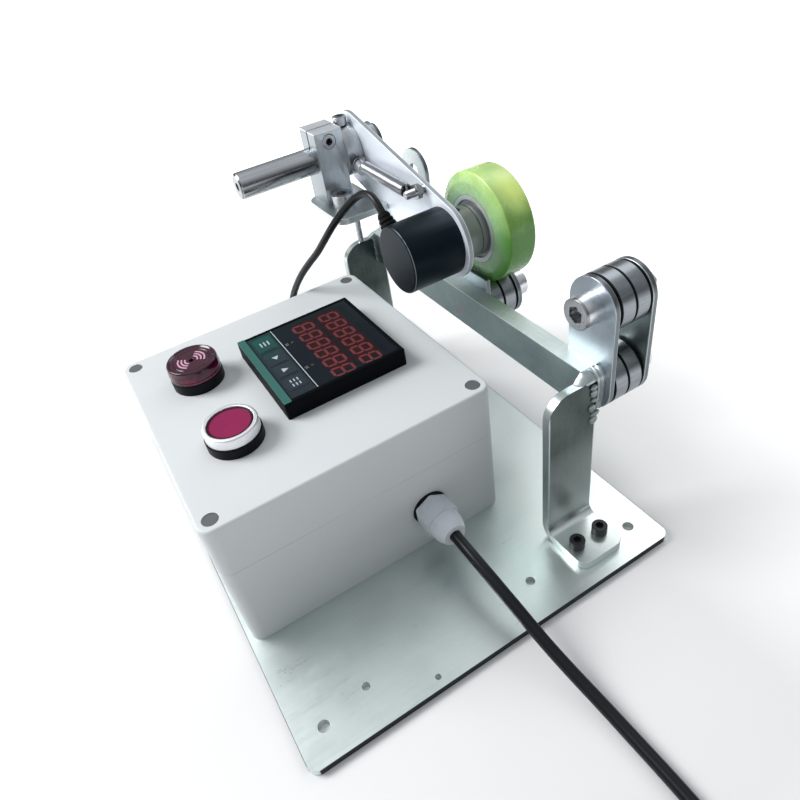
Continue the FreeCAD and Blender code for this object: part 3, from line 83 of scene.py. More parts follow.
# %% Camera
CAMERA_RIGHT = (0.8475, -0.5130, -0.1361)
CAMERA_UP = (0.4247, 0.5016, 0.7537)
CAMERA_BACK = (-0.3184, -0.6965, 0.6430)
CAMERA_PLACE = (-0.0982, -0.2870, 0.3131)
CAMERA_LENS, CAMERA_SENSOR, CAMERA_SHIFT = 29.67, 36.0, -0.0048

camera = bpy.data.objects.new("camera", bpy.data.cameras.new("camera"))
camera.data.lens = CAMERA_LENS
camera.data.sensor_width = CAMERA_SENSOR
camera.data.shift_x = CAMERA_SHIFT
camera_turn = Matrix((CAMERA_RIGHT, CAMERA_UP, CAMERA_BACK)).transposed()
camera.matrix_world = Matrix.Translation(CAMERA_PLACE) @ camera_turn.to_4x4()
bpy.context.scene.collection.objects.link(camera)
bpy.context.scene.camera = camera
print("camera at", CAMERA_PLACE)

# %% [markdown]
# ## The supply cord's line
# The cord is one length of round black flex: out of the gland, down over the plate's front
# edge to the table, and then wound into a neat coil of two layers, three turns wide. A NURBS
# spline is the right line for it, because its control points pull it into one smooth curve
# with no kinks. The coil's turns are more points of the same spline.

# %% Supply cord's line
CORD_D = 6.5
COIL_X, COIL_Y = -26.8, -281.0
TABLE_TURN_Z = 3.3
OUTER_TURN_R = 43.0
COIL_STEP = 15.0
COIL_END = 1890.0
STEPS_IN, STEPS_OUT, STEP_UP, STEP_LONG = (300.0, 660.0), (1290.0, 1650.0), (960.0,), 60.0
SPLINE_ORDER = 3

CORD_DOWN = [
    (4.9, -88.0, 32.7), (4.9, -103.0, 32.7), (5.4, -117.0, 30.4), (6.6, -131.0, 26.2),
    (8.2, -145.5, 20.6), (9.9, -160.0, 14.6), (12.2, -176.5, 9.2), (14.4, -194.0, 5.4),
    (15.6, -213.0, 3.6), (16.3, -234.0, 3.3), (16.2, -257.3, 3.3),
]
CORD_TAIL = [(-50.5, -324.0, 9.8), (-63.4, -324.5, 10.65), (-76.0, -324.0, 13.0),
             (-90.0, -324.0, 13.0)]


def eased_step(x, start, end):
    """0 before start, 1 after end, and 3t^2 - 2t^3 between them."""
    t = np.clip((x - start) / (end - start), 0.0, 1.0)
    return t * t * (3.0 - 2.0 * t)


def coil_turns():
    """Round the coil clockwise from above: the radius passes to the next turn, and the height
    to the next layer, by an eased step over 60 degrees."""
    travelled = np.arange(0.0, COIL_END + 1.0, COIL_STEP)

    def steps(starts):
        return sum(eased_step(travelled, start, start + STEP_LONG) for start in starts)

    radius = OUTER_TURN_R - CORD_D * (steps(STEPS_IN) - steps(STEPS_OUT))
    height = TABLE_TURN_Z + CORD_D * steps(STEP_UP)
    angle = -np.radians(travelled)
    return np.stack([COIL_X + radius * np.cos(angle), COIL_Y + radius * np.sin(angle), height], 1)


def nurbs_line(points, per_point):
    """The points that Blender gives along a NURBS spline with no bevel, as rows. The route's
    points are its control points, and there are per_point new ones to each."""
    curve = bpy.data.curves.new("route", "CURVE")
    curve.dimensions = "3D"
    spline = curve.splines.new("NURBS")
    spline.points.add(len(points) - 1)
    spline.points.foreach_set("co", np.column_stack([points, np.ones(len(points))]).ravel())
    spline.order_u = SPLINE_ORDER
    spline.use_endpoint_u = True
    spline.resolution_u = per_point
    route = bpy.data.objects.new("route", curve)
    bpy.context.scene.collection.objects.link(route)
    mesh = bpy.data.meshes.new_from_object(route)
    line = np.empty(3 * len(mesh.vertices))
    mesh.vertices.foreach_get("co", line)
    bpy.data.meshes.remove(mesh)
    bpy.data.objects.remove(route)
    return line.reshape(-1, 3)


def line_length(points):
    """The distances from each point to the next, added."""
    return float(np.linalg.norm(np.diff(points, axis=0), axis=1).sum())


mains_points = np.vstack([CORD_DOWN, coil_turns(), CORD_TAIL]) * MM
mains_line = nurbs_line(mains_points, 6)
print("supply cord", round(line_length(mains_line), 3), "m in", len(mains_points), "points")

# %% [markdown]
# ## The encoder lead's line
# A thinner lead leaves the encoder's boot, arches over and drops behind the box into a
# grommet. One end rides on the arm and the other stays on the frame, so on the real counter it
# bends with the arm. Here the tube is a mesh that follows the points of its NURBS line, and it
# rides on no body.

# %% Encoder lead's line
LEAD_D = 4.4
LEAD_ROUTE = [
    (49.0, 19.09, 160.72), (49.0, 23.48, 165.11), (49.0, 29.1, 167.7), (48.4, 35.3, 167.6),
    (46.4, 41.0, 165.3), (43.0, 45.8, 161.0), (38.4, 50.2, 155.0), (33.4, 55.8, 147.0),
    (28.9, 63.0, 136.6), (24.8, 70.6, 126.2), (20.4, 79.2, 117.0), (16.2, 87.8, 106.8),
    (12.6, 95.6, 95.4), (9.8, 101.8, 83.6), (7.8, 105.4, 72.8), (6.2, 105.8, 62.8),
    (5.2, 102.2, 53.8), (5.0, 93.8, 48.0), (5.0, 84.7, 48.0),
]
lead_points = np.array(LEAD_ROUTE) * MM
lead_line = nurbs_line(lead_points, 8)
print("encoder lead", round(line_length(lead_line), 3), "m")

# %% [markdown]
# ## Surfaces from numbers
# Every new shape is a surface with two parameters. A grid of rows and columns of points is
# worked out as whole arrays, and its faces join each point to its neighbours. A surface is
# a pair: its points, and a list of face arrays. Several surfaces join into one mesh, where
# doubled points merge, so seams and poles close, and the faces are turned outwards.

# %% Surface helpers
def grid_faces(rows, columns, round_rows=False, round_columns=False):
    """Four-cornered faces of a grid of points; a round direction meets its own start."""
    r = np.arange(rows if round_rows else rows - 1)
    c = np.arange(columns if round_columns else columns - 1)
    r, c = np.meshgrid(r, c, indexing="ij")
    r1, c1 = (r + 1) % rows, (c + 1) % columns
    corners = [r * columns + c, r * columns + c1, r1 * columns + c1, r1 * columns + c]
    return np.stack(corners, -1).reshape(-1, 4)


def unit(vectors):
    """Vectors divided by their own lengths."""
    return vectors / np.linalg.norm(vectors, axis=-1, keepdims=True)


def turned(profile, centre, axis, steps=96, closed=True):
    """Profile rows are (along, radius); each is carried round the axis:
    centre + along * axis + radius * (cos a * u + sin a * v)."""
    profile = np.asarray(profile, float)
    axis = unit(np.asarray(axis, float))
    helper = (1.0, 0.0, 0.0) if abs(axis[0]) < 0.7 else (0.0, 0.0, 1.0)
    u = unit(np.cross(axis, helper))
    v = np.cross(axis, u)
    angle = np.linspace(0.0, 2 * np.pi, steps, endpoint=False)
    ring = np.cos(angle)[:, None] * u + np.sin(angle)[:, None] * v
    along = np.asarray(centre, float) + profile[:, :1] * axis
    points = along[:, None] + profile[:, 1:, None] * ring[None]
    return points.reshape(-1, 3), [grid_faces(len(profile), steps, closed, True)]


def tube(path, radius, across, sides=20):
    """A ring round each point of a path, square to it: path + radius * (cos a * n + sin a * b),
    with n square to the path and to across, and b square to both. Its ends close in a pole."""
    path = np.asarray(path, float)
    radius = np.broadcast_to(radius, len(path))
    tangent = unit(np.gradient(path, axis=0))
    n = unit(np.cross(tangent, across))
    b = np.cross(tangent, n)
    angle = np.linspace(0.0, 2 * np.pi, sides, endpoint=False)
    ring = n[:, None] * np.cos(angle)[:, None] + b[:, None] * np.sin(angle)[:, None]
    points = path[:, None] + radius[:, None, None] * ring
    ends = np.broadcast_to(path[[0, -1], None], (2, sides, 3))
    points = np.concatenate([ends[:1], points, ends[1:]])
    return points.reshape(-1, 3), [grid_faces(len(points), sides, False, True)]

# %% One mesh from surfaces
SAME_POINT = 1e-7


def add_piece(name, surfaces, body, finish, stands_for=(), sharp=40.0, scale=MM):
    """Joins surfaces into one mesh object that rides on a body, with a finish by its name."""
    points, loops, sizes, base = [], [], [], 0
    for part_points, part_faces in surfaces:
        points.append(part_points)
        loops += [(faces + base).ravel() for faces in part_faces]
        sizes += [np.full(len(faces), faces.shape[1]) for faces in part_faces]
        base += len(part_points)
    points, loops, sizes = np.vstack(points) * scale, np.concatenate(loops), np.concatenate(sizes)
    mesh = bpy.data.meshes.new(name)
    mesh.vertices.add(len(points))
    mesh.vertices.foreach_set("co", points.astype(np.float32).ravel())
    mesh.loops.add(len(loops))
    mesh.loops.foreach_set("vertex_index", loops.astype(np.int32))
    mesh.polygons.add(len(sizes))
    starts = np.concatenate([[0], np.cumsum(sizes)[:-1]])
    mesh.polygons.foreach_set("loop_start", starts.astype(np.int32))
    mesh.update(calc_edges=True)
    work = bmesh.new()
    work.from_mesh(mesh)
    bmesh.ops.remove_doubles(work, verts=work.verts, dist=SAME_POINT)
    bmesh.ops.dissolve_degenerate(work, edges=work.edges, dist=SAME_POINT / 10)
    bmesh.ops.recalc_face_normals(work, faces=work.faces)
    work.to_mesh(mesh)
    work.free()
    mesh.shade_smooth()
    mesh.set_sharp_from_angle(angle=math.radians(sharp))
    piece = bpy.data.objects.new(name, mesh)
    bpy.context.scene.collection.objects.link(piece)
    mesh.materials.append(finishes[finish])
    if body:
        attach(piece, body)
    if stands_for:
        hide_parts(*stands_for)
    print(name, len(mesh.polygons), "faces")
    return piece

# %% [markdown]
# ## Edges that catch the light
# Sheared plate, moulded plastic and milled blocks never have knife edges, and it is the
# thin bright line along an edge that tells the eye what it is made of. The solids are sharp,
# so a merged copy stands for each, with a Bevel modifier that rounds every edge where two
# faces turn by more than 32 degrees.

# %% Softened copies
MERGE_MM, FLAT_UNDER, SMOOTH_UNDER, BEVEL_OVER = 0.002, 0.3, 35, 32


def merged_copy(name):
    """A copy of a dressed solid that stands for it, with doubled points and flat triangles
    merged."""
    work = bmesh.new()
    work.from_mesh(nodes[name].data)
    bmesh.ops.remove_doubles(work, verts=work.verts, dist=MERGE_MM * MM)
    flat = math.radians(FLAT_UNDER)
    bmesh.ops.dissolve_limit(work, angle_limit=flat, verts=work.verts, edges=work.edges)
    mesh = bpy.data.meshes.new(name + "_copy")
    work.to_mesh(mesh)
    work.free()
    mesh.shade_smooth()
    mesh.set_sharp_from_angle(angle=math.radians(SMOOTH_UNDER))
    mesh.materials.append(nodes[name].data.materials[0])
    piece = bpy.data.objects.new(name + "_copy", mesh)
    bpy.context.scene.collection.objects.link(piece)
    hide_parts(name)
    return piece


def softened(name, width):
    """A merged copy with its sharp edges rounded by width in millimetres."""
    piece = merged_copy(name)
    bevel = piece.modifiers.new("edges", "BEVEL")
    bevel.width = width * MM
    bevel.segments = 2
    bevel.limit_method = "ANGLE"
    bevel.angle_limit = math.radians(BEVEL_OVER)
    bevel.harden_normals = True
    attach(piece, nodes[name]["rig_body"])
    return piece

# %% [markdown]
# ## A small language for finishes
# A procedural finish is a formula: noise, stripes and masks that are added and multiplied.
# Drawing it as Python expressions keeps it readable. `Link` wraps one socket, and each of its
# operators adds one Math node, so `1 - mask * 0.3` adds two. `Finish.node` adds any other
# node, and `Finish.done` feeds the surface.

# %% Links and finishes
finishes = {}


def operator(operation, swapped=False):
    """A method that adds one Math node; swapped puts its own socket last."""
    def method(self, *others):
        values = (*others, self) if swapped else (self, *others)
        return self.finish.node("ShaderNodeMath", {"operation": operation}, dict(enumerate(values)))
    return method


class Link:
    """One output socket of a shader node, with the usual operators."""

    def __init__(self, finish, socket):
        self.finish = finish
        self.socket = socket

    __add__ = __radd__ = operator("ADD")
    __mul__ = __rmul__ = operator("MULTIPLY")
    __sub__, __rsub__ = operator("SUBTRACT"), operator("SUBTRACT", swapped=True)
    __pow__, __abs__, __gt__ = operator("POWER"), operator("ABSOLUTE"), operator("GREATER_THAN")
    sine, root = operator("SINE"), operator("SQRT")
    larger, smaller = operator("MAXIMUM"), operator("MINIMUM")

    def swing(self, amount):
        """How far a noise lies above or below its middle, 0.5, times an amount."""
        return (self - 0.5) * amount

    def spread(self, low, high, to_low=0.0, to_high=1.0):
        """Carries low..high to to_low..to_high, and holds still outside them."""
        values = {0: self, 1: low, 2: high, 3: to_low, 4: to_high}
        return self.finish.node("ShaderNodeMapRange", {"clamp": True}, values)


class Finish:
    """A material in the making: one Principled surface and the nodes that feed it."""

    def __init__(self, name, **constants):
        self.material = finishes[name] = bpy.data.materials.new(name)
        self.material.use_nodes = True
        self.tree = self.material.node_tree
        self.surface = next(n for n in self.tree.nodes if n.type == "BSDF_PRINCIPLED")
        for socket, value in constants.items():
            self.surface.inputs[socket.replace("_", " ")].default_value = value
        self.place = self.node("ShaderNodeTexCoord", output="Object")

    def node(self, kind, settings=None, values=None, output=0):
        """Adds a node of that type: its settings first, then its sockets' values or links."""
        made = self.tree.nodes.new(kind)
        for key, value in (settings or {}).items():
            setattr(made, key, value)
        for key, value in (values or {}).items():
            if isinstance(value, Link):
                self.tree.links.new(value.socket, made.inputs[key])
            else:
                made.inputs[key].default_value = value
        return Link(self, made.outputs[output])

    def parts(self):
        """The object coordinates, as three links in metres."""
        return [self.node("ShaderNodeSeparateXYZ", None, {0: self.place}, k) for k in range(3)]

    def noise(self, per_metre, detail=2.0, rough=0.5, stretch=(1.0, 1.0, 1.0)):
        """Cloudy noise from 0 to 1; stretch multiplies its frequency along each axis."""
        place = self.place
        if stretch != (1.0, 1.0, 1.0):
            place = self.node("ShaderNodeMapping", None, {"Vector": place, "Scale": stretch})
        values = {"Vector": place, "Scale": per_metre, "Detail": detail, "Roughness": rough}
        return self.node("ShaderNodeTexNoise", None, values)

    def lines(self, across, per_metre, detail=2.0):
        """Noise that changes with one number alone, such as a radius: fine parallel lines."""
        values = {"W": across * per_metre, "Scale": 1.0, "Detail": detail}
        return self.node("ShaderNodeTexNoise", {"noise_dimensions": "1D"}, values)

    def mix(self, first, second, share):
        """A blend of two colours, each a tuple or a link: the first where share is 0."""
        colours = [(*c, 1.0) if isinstance(c, tuple) else c for c in (first, second)]
        values = {0: share, 6: colours[0], 7: colours[1]}
        return self.node("ShaderNodeMix", {"data_type": "RGBA"}, values, 2)

    def shade(self, colour, amount):
        """A colour made lighter or darker by a link."""
        values = {0: colour, "Scale": amount}
        return self.node("ShaderNodeVectorMath", {"operation": "SCALE"}, values)

    def feed(self, **links):
        """Joins links to the surface's sockets, by the sockets' names."""
        for socket, link in links.items():
            self.tree.links.new(link.socket, self.surface.inputs[socket.replace("_", " ")])

    def done(self, colour, rough, height, depth):
        """Feeds colour, roughness, and relief whose depth is in millimetres."""
        relief = self.node("ShaderNodeBump", None, {"Height": height, "Distance": depth * MM})
        self.feed(Base_Color=colour, Roughness=rough, Normal=relief)


def begun(name, **constants):
    """A finish, and its three object coordinates in metres."""
    finish = Finish(name, **constants)
    return finish, *finish.parts()


def from_axis(first, second, first0=0.0, second0=0.0):
    """Distance from an axis: the root of the two squares across it, added."""
    return ((first - first0) ** 2 + (second - second0) ** 2).root()


print("a link's own methods", [name for name in vars(Link) if not name.startswith("_")])

# %% [markdown]
# ## Zinc-plated steel
# The plates are sheet steel with a bright zinc coat: cloudy, a little greenish or bluish,
# with faint rolling streaks and small crystals. Clouds, streaks and crystals change both the
# colour and the roughness. Cut edges are darker, and the base plate's are nearly black, which
# is painted shade. Masks give some faces colours of their own: painted shade and painted
# reflection where a face looks at a dark or a bright side of the room, and painted light that
# makes tops and low parts lighter.

# %% Zinc finishes
ALONG_X, ALONG_Y, ALONG_Z = (0.05, 1.0, 1.0), (1.0, 0.05, 1.0), (1.0, 1.0, 0.05)
EVEN = (1.0, 1.0, 1.0)
CUT_LIGHT, CUT_DARK = (0.20, 0.22, 0.23), (0.11, 0.125, 0.13)
PLATE_SIDE_X, PLATE_SIDE_Y = 0.1108, 0.1458
UPRIGHT_X, UPRIGHT_Y = 0.071, 0.1065
BLOCK_TOP = (0.1868, 0.1873)


def zinc(name, light, dark, streaks, rough, relief, areas=(), metallic=1.0):
    """Clouds 25 mm wide, crystals 2 mm wide, and streaks drawn out along one axis. Each area is
    a mask with colours of its own, light and dark, and what it adds to the roughness."""
    finish = Finish(name, Metallic=metallic)
    cloud = finish.noise(38.0, 3.0)
    crystal = finish.noise(520.0, 2.0)
    streak = finish.noise(700.0, 3.0, 0.6, streaks)
    share = (cloud * 0.6 + streak * 0.25 + crystal * 0.15).spread(0.34, 0.66)
    colour = finish.mix(dark, light, share)
    roughness = rough + cloud.swing(0.16) + streak.swing(0.10) + crystal.swing(0.06)
    for mask, area_light, area_dark, rougher in areas:
        inside = mask(*finish.parts())
        colour = finish.mix(colour, finish.mix(area_dark, area_light, share), inside)
        roughness = roughness + inside * rougher
    finish.done(colour, roughness, streak * 0.6 + crystal * 0.4, relief)


def plate_edge_shade(x, y, z):
    """1 on the base plate's cut sides, which get painted shade, and 0 on its faces."""
    short_side = abs(x).spread(PLATE_SIDE_X - 0.0001, PLATE_SIDE_X)
    return short_side.larger(abs(y).spread(PLATE_SIDE_Y - 0.0001, PLATE_SIDE_Y))


def low_painted_light(x, y, z):
    """Painted light: highest near an upright's foot, and 0 from half way up."""
    return z.spread(0.070, 0.012) * 0.8


def shaded_wide_faces(x, y, z):
    """1 on the uprights' wide rolled faces above the bend, which get painted shade, and 0 on their
    sheared edges and feet.
    """
    rolled = abs(abs(y) - UPRIGHT_Y).spread(0.0021, 0.0023)
    inside = abs(x - UPRIGHT_X).spread(0.0146, 0.0140)
    return rolled * inside * z.spread(0.010, 0.030)


def shaded_block_left(x, y, z):
    """1 on the clamp block's left face, below its top, which gets painted shade."""
    return x.spread(0.0476, 0.0474) * (1 - z.spread(*BLOCK_TOP))


def past(axis, start, end):
    """A mask that grows from 0 at start to 1 at end, along axis 0, 1 or 2."""
    return lambda *place: place[axis].spread(start, end)


def cut_between(low, high):
    """A mask: 1 on the cut edge of a sheet that lies between two planes across x, 0 on its two
    faces, which lie in those planes."""
    half = (high - low) / 2
    return lambda x, y, z: abs(x - (low + half)).spread(half - 0.0002, half - 0.0006)


# The base plate's cut sides are nearly black: painted shade.
zinc("base_zinc", (0.74, 0.81, 0.79), (0.67, 0.74, 0.72), ALONG_X, 0.32, 0.0012, [
    (plate_edge_shade, (0.05, 0.055, 0.055), (0.04, 0.045, 0.045), 0.3)])
# The uprights' wide faces are darker, painted shade, and their lower parts lighter, painted light.
zinc("frame_zinc", (0.62, 0.68, 0.67), (0.45, 0.51, 0.50), ALONG_Z, 0.32, 0.008, [
    (shaded_wide_faces, (0.105, 0.130, 0.122), (0.045, 0.060, 0.056), 0.0),
    (low_painted_light, (0.74, 0.80, 0.78), (0.70, 0.76, 0.74), 0.0)])
# The crossbar's top is lighter: painted light.
zinc("bar_zinc", (0.45, 0.54, 0.54), (0.30, 0.38, 0.39), ALONG_Y, 0.40, 0.012, [
    (past(2, 0.1078, 0.1084), (0.86, 0.93, 0.92), (0.64, 0.72, 0.71), 0.16)])
zinc("cheek_zinc", (0.50, 0.55, 0.60), (0.42, 0.47, 0.52), ALONG_Z, 0.38, 0.003, [
    (cut_between(0.090, 0.093), CUT_LIGHT, CUT_DARK, 0.0)])
# The outer cheeks' left faces get greener colours: painted reflection.
zinc("outer_zinc", (0.62, 0.66, 0.70), (0.46, 0.50, 0.54), ALONG_Z, 0.38, 0.004, [
    (past(0, 0.1133, 0.1131), (0.62, 0.68, 0.67), (0.42, 0.48, 0.47), 0.0),
    (cut_between(0.113, 0.116), CUT_LIGHT, CUT_DARK, 0.0)])
# The clamp block's left face is darker and its top lighter: painted shade and painted light.
zinc("block_zinc", (0.70, 0.74, 0.77), (0.50, 0.54, 0.57), ALONG_Z, 0.38, 0.008, [
    (shaded_block_left, (0.40, 0.43, 0.45), (0.30, 0.33, 0.35), 0.05),
    (past(2, *BLOCK_TOP), (0.90, 0.92, 0.95), (0.80, 0.82, 0.86), 0.1)])
zinc("bracket_zinc", (0.70, 0.75, 0.75), (0.56, 0.61, 0.61), ALONG_X, 0.36, 0.005)
zinc("arm_zinc", (0.89, 0.94, 1.0), (0.82, 0.88, 0.97), ALONG_Y, 0.50, 0.003, [
    (cut_between(0.0755, 0.0785), (0.40, 0.43, 0.46), (0.28, 0.31, 0.34), 0.0)], metallic=0.40)
# The welds are lighter on top: painted light.
zinc("weld_metal", (0.34, 0.38, 0.38), (0.12, 0.15, 0.15), EVEN, 0.30, 0.06, [
    (past(2, 0.1030, 0.1042), (0.60, 0.66, 0.66), (0.42, 0.48, 0.48), 0.1)])
print("zinc finishes", list(finishes))

# %% [markdown]
# ## Turned metal
# Shafts, collars and hubs come off a lathe with fine rings. A ring is where the distance
# from the axis, or the place along it, is the same, so noise of those two numbers alone
# gives lines that run round the piece, as the tool left them.

# %% Turned finishes
WHEEL_Z = 0.14163
PIVOT_Y, PIVOT_Z = 0.101664, 0.169443
END_Y, LOWER_Z, UPPER_Z = 0.0985, 0.0945, 0.1385
HEAD_X, NUT_X, NUT_Z, FLUSH_X = 0.119, 0.0865, 0.120, 0.0815
BEARING_X, BEARING_HALF = 0.103, 0.009
SCREW_X, SCREW_Z = 0.0562, 0.18104
RINGS_PER_METRE = 2600.0


def lathe(name, colour, y0, z0, rough, relief, tone, shadow=None, metallic=1.0):
    """Rings about an axis along x through y0, z0; tone is how much they change the colour, and
    shadow darkens what lies deep between faces with painted shade."""
    finish, x, y, z = begun(name, Metallic=metallic)
    radius = from_axis(y, z, y0, z0)
    rings = finish.lines(x + radius, RINGS_PER_METRE, 3.0)
    broad = finish.lines(x + radius, 300.0)
    cloud = finish.noise(60.0)
    light = 1.0 + (rings * 0.6 + cloud * 0.4).swing(tone)
    if shadow:
        light = light * shadow(radius)
    finish.done(finish.shade(colour, light), rough + rings.swing(0.2) + broad.swing(0.1),
                rings, relief)


def hub_web_shade(radius):
    """Painted shade: the hub's sunk web, beyond the boss, is the darkest, and its rim lies between.
    """
    return 1 - radius.spread(0.0105, 0.0112) * radius.spread(0.0172, 0.0165, 0.42, 0.75)


def nearest_bolt(x, y, z):
    """Distance from the nearest roller bolt's axis in metres, and 1 where a socket may be."""
    lower = (z - LOWER_Z) ** 2 + abs(abs(y) - END_Y).smaller(abs(y)) ** 2
    upper = (z - UPPER_Z) ** 2 + (y + END_Y) ** 2
    in_head = (x > HEAD_X).larger((z > NUT_Z) * (1 - (x > NUT_X)))
    return lower.smaller(upper).root(), in_head


def bolt_steel(name):
    """Zinc-plated heads: rings about each bolt, and painted shade on the socket's floor. The lower
    bolts' ends, which lie flush in the crossbar's face, are greyer."""
    finish, x, y, z = begun(name, Metallic=1.0)
    radius, in_head = nearest_bolt(x, y, z)
    rings = finish.lines(x + radius, 1500.0, 3.0)
    stain = finish.noise(260.0, 3.0)
    socket = radius.spread(0.00408, 0.00398) * in_head
    face = radius.spread(0.0078, 0.0070)
    tone = 0.80 + rings.swing(0.25) + stain.swing(0.5) + face * 0.25
    flush = (x > FLUSH_X) * 0.5 + 0.5
    finish.done(finish.shade((0.80, 0.82, 0.85), tone * flush * (1 - socket * 0.85)),
                0.30 + stain.swing(0.2) + socket * 0.4, rings * 0.4 + stain * 0.6, 0.012)


def ground_rings(name):
    """Ball bearings: ground rings with fine cross lines, and painted shade in the chamfers where two
    meet and at the stack's two ends.
    """
    finish, x, y, z = begun(name, Metallic=1.0)
    lines = finish.lines(x, 9000.0, 2.0)
    cross = finish.noise(900.0, 3.0, 0.6, (0.08, 1.0, 1.0))
    seam = abs(x - BEARING_X).spread(0.0009, 0.0006)
    ends = abs(abs(x - BEARING_X) - BEARING_HALF).spread(0.0009, 0.0006)
    gap = seam.larger(ends)
    tone = 0.85 + lines.swing(0.3) + cross.swing(0.6)
    finish.done(finish.shade((0.30, 0.325, 0.35), tone * (1 - gap * 0.95)),
                0.32 + cross.swing(0.2) + gap * 0.3, lines * 0.5 + cross * 0.5, 0.004)


def drawn_shaft(name):
    """Drawn along x: streaks, a darker band in front that is a painted reflection, and a greyer
    left end, with painted shade in its centre hole."""
    finish, x, y, z = begun(name, Metallic=1.0)
    radius = from_axis(y, z, PIVOT_Y, PIVOT_Z)
    streak = finish.noise(700.0, 3.0, 0.6, (0.02, 1.0, 1.0))
    cloud = finish.noise(38.0, 3.0)
    # Painted shade in the centre hole, a painted reflection in the darker band in front, and a
    # greyer left end.
    hole = radius.spread(0.0026, 0.0024) * (1 - (x > -0.0005))
    band = abs(z - PIVOT_Z - 0.0006).spread(0.0036, 0.0012) * (1 - (y > PIVOT_Y)) * 0.55
    greyer_end = x.spread(-0.0024, -0.0028) * 0.55
    tone = (0.9 + streak.swing(0.5) + cloud.swing(0.3)) * (1 - hole * 0.95) * (1 - band) * (1 - greyer_end)
    finish.done(finish.shade((0.56, 0.58, 0.61), tone),
                0.20 + streak.swing(0.12) + cloud.swing(0.1) + hole * 0.3, streak, 0.002)


def socket_screw(name, x0, z0):
    """A cap screw along y: rings about its axis, and painted shade on the socket's floor."""
    finish, x, y, z = begun(name, Metallic=1.0)
    radius = from_axis(x, z, x0, z0)
    rings = finish.lines(radius + y, RINGS_PER_METRE, 3.0)
    socket = radius.spread(0.0022, 0.0020)
    tone = (0.9 + rings.swing(0.4)) * (1 - socket * 0.96)
    finish.done(finish.shade((0.60, 0.62, 0.65), tone), 0.30 + rings.swing(0.2) + socket * 0.4,
                rings, 0.004)


def encoder_skin(name):
    """Matt black paint, with a painted highlight: a pale line along part of the end's turned rim."""
    finish, x, y, z = begun(name, Specular_IOR_Level=0.20, Specular_Tint=(0.50, 0.78, 1.0, 1.0))
    radius = from_axis(y, z, 0.0, WHEEL_Z)
    rings = finish.lines(x + radius, RINGS_PER_METRE, 3.0)
    cloud = finish.noise(60.0)
    # A painted highlight: a pale line on part of the end's rim, broken up by noise.
    rim_highlight_noise = finish.noise(240.0, 3.0)
    rim = radius.spread(0.0185, 0.0187) * x.spread(0.0443, 0.0440)
    painted_rim_highlight = rim * y.spread(0.002, -0.004) * rim_highlight_noise.spread(0.25, 0.45)
    paint = finish.shade((0.0026, 0.0048, 0.0074), 1.0 + (rings * 0.6 + cloud * 0.4).swing(0.3))
    finish.done(finish.mix(paint, (0.36, 0.39, 0.42), painted_rim_highlight),
                0.40 + rings.swing(0.2) - painted_rim_highlight * 0.1, rings, 0.002)


drawn_shaft("drawn_steel")
lathe("hub_metal", (0.88, 0.93, 0.93), 0.0, WHEEL_Z, 0.34, 0.004, 0.6, hub_web_shade, 0.4)
lathe("collar_metal", (0.42, 0.44, 0.46), PIVOT_Y, PIVOT_Z, 0.30, 0.004, 0.5)
lathe("small_screw", (0.46, 0.47, 0.49), 0.0, LOWER_Z, 0.32, 0.006, 0.3)
lathe("spring_steel", (0.30, 0.31, 0.33), 0.0, 0.15, 0.32, 0.002, 0.3)
socket_screw("clamp_steel", SCREW_X, SCREW_Z)
bolt_steel("bolt_zinc")
ground_rings("bearing_metal")
encoder_skin("encoder_paint")
print("with the turned ones", len(finishes))

# %% [markdown]
# ## Plastic and rubber
# Moulded plastic takes the texture of its mould: a fine pebble grain on the box, a smoother
# skin on the small black mouldings. The grain is noise a fraction of a millimetre wide that
# feeds the bump and a little of the roughness, over slow clouds that keep a large face from
# looking like one flat colour. Printed marks and the satin ring are made the same way.

# %% Moulded finishes
DULL = {"Specular_IOR_Level": 0.10}


def moulded(name, colour, rough, grain_per_metre, grain_depth, clouds=0.05, **constants):
    """Colour times 1 + a share of slow clouds + a little of the fine grain."""
    finish = Finish(name, **constants)
    grain = finish.noise(grain_per_metre, 2.0)
    cloud = finish.noise(24.0, 3.0)
    finish.done(finish.shade(colour, 1.0 + cloud.swing(clouds) + grain.swing(0.04)),
                rough + grain.swing(0.12) + cloud.swing(0.1), grain, grain_depth)


moulded("box_plastic", (0.61, 0.635, 0.645), 0.5, 2600.0, 0.02, 0.06)
moulded("cap_plastic", (0.10, 0.105, 0.115), 0.5, 2600.0, 0.02)
moulded("black_plastic", (0.0045, 0.0055, 0.0075), 0.42, 2200.0, 0.015, **DULL)
moulded("meter_plastic", (0.0035, 0.0045, 0.0060), 0.55, 2600.0, 0.012, Specular_IOR_Level=0.04)
moulded("nylon_white", (0.62, 0.65, 0.70), 0.42, 1800.0, 0.02, Subsurface_Weight=0.2,
        Subsurface_Scale=0.002)
moulded("rubber_black", (0.009, 0.009, 0.010), 0.6, 1600.0, 0.03, **DULL)
moulded("flex_black", (0.004, 0.005, 0.007), 0.32, 1200.0, 0.015, Specular_IOR_Level=0.28)
moulded("screw_black", (0.010, 0.010, 0.011), 0.42, 2400.0, 0.02)
moulded("satin_ring", (0.92, 0.92, 0.95), 0.42, 1400.0, 0.002, Metallic=1.0)
moulded("stripe_green", (0.024, 0.115, 0.102), 0.4, 2600.0, 0.01, 0.3)
moulded("print_white", (0.42, 0.47, 0.49), 0.5, 2600.0, 0.005)
moulded("print_pink", (0.60, 0.33, 0.45), 0.4, 1200.0, 0.004)
moulded("print_grey", (0.14, 0.17, 0.18), 0.5, 2600.0, 0.004)
moulded("digit_red", (0.105, 0.013, 0.015), 0.4, 900.0, 0.001, 1.2,
        Emission_Color=(0.8, 0.10, 0.09, 1.0), Emission_Strength=0.04)
moulded("lamp_dim", (0.06, 0.02, 0.02), 0.3, 900.0, 0.001)
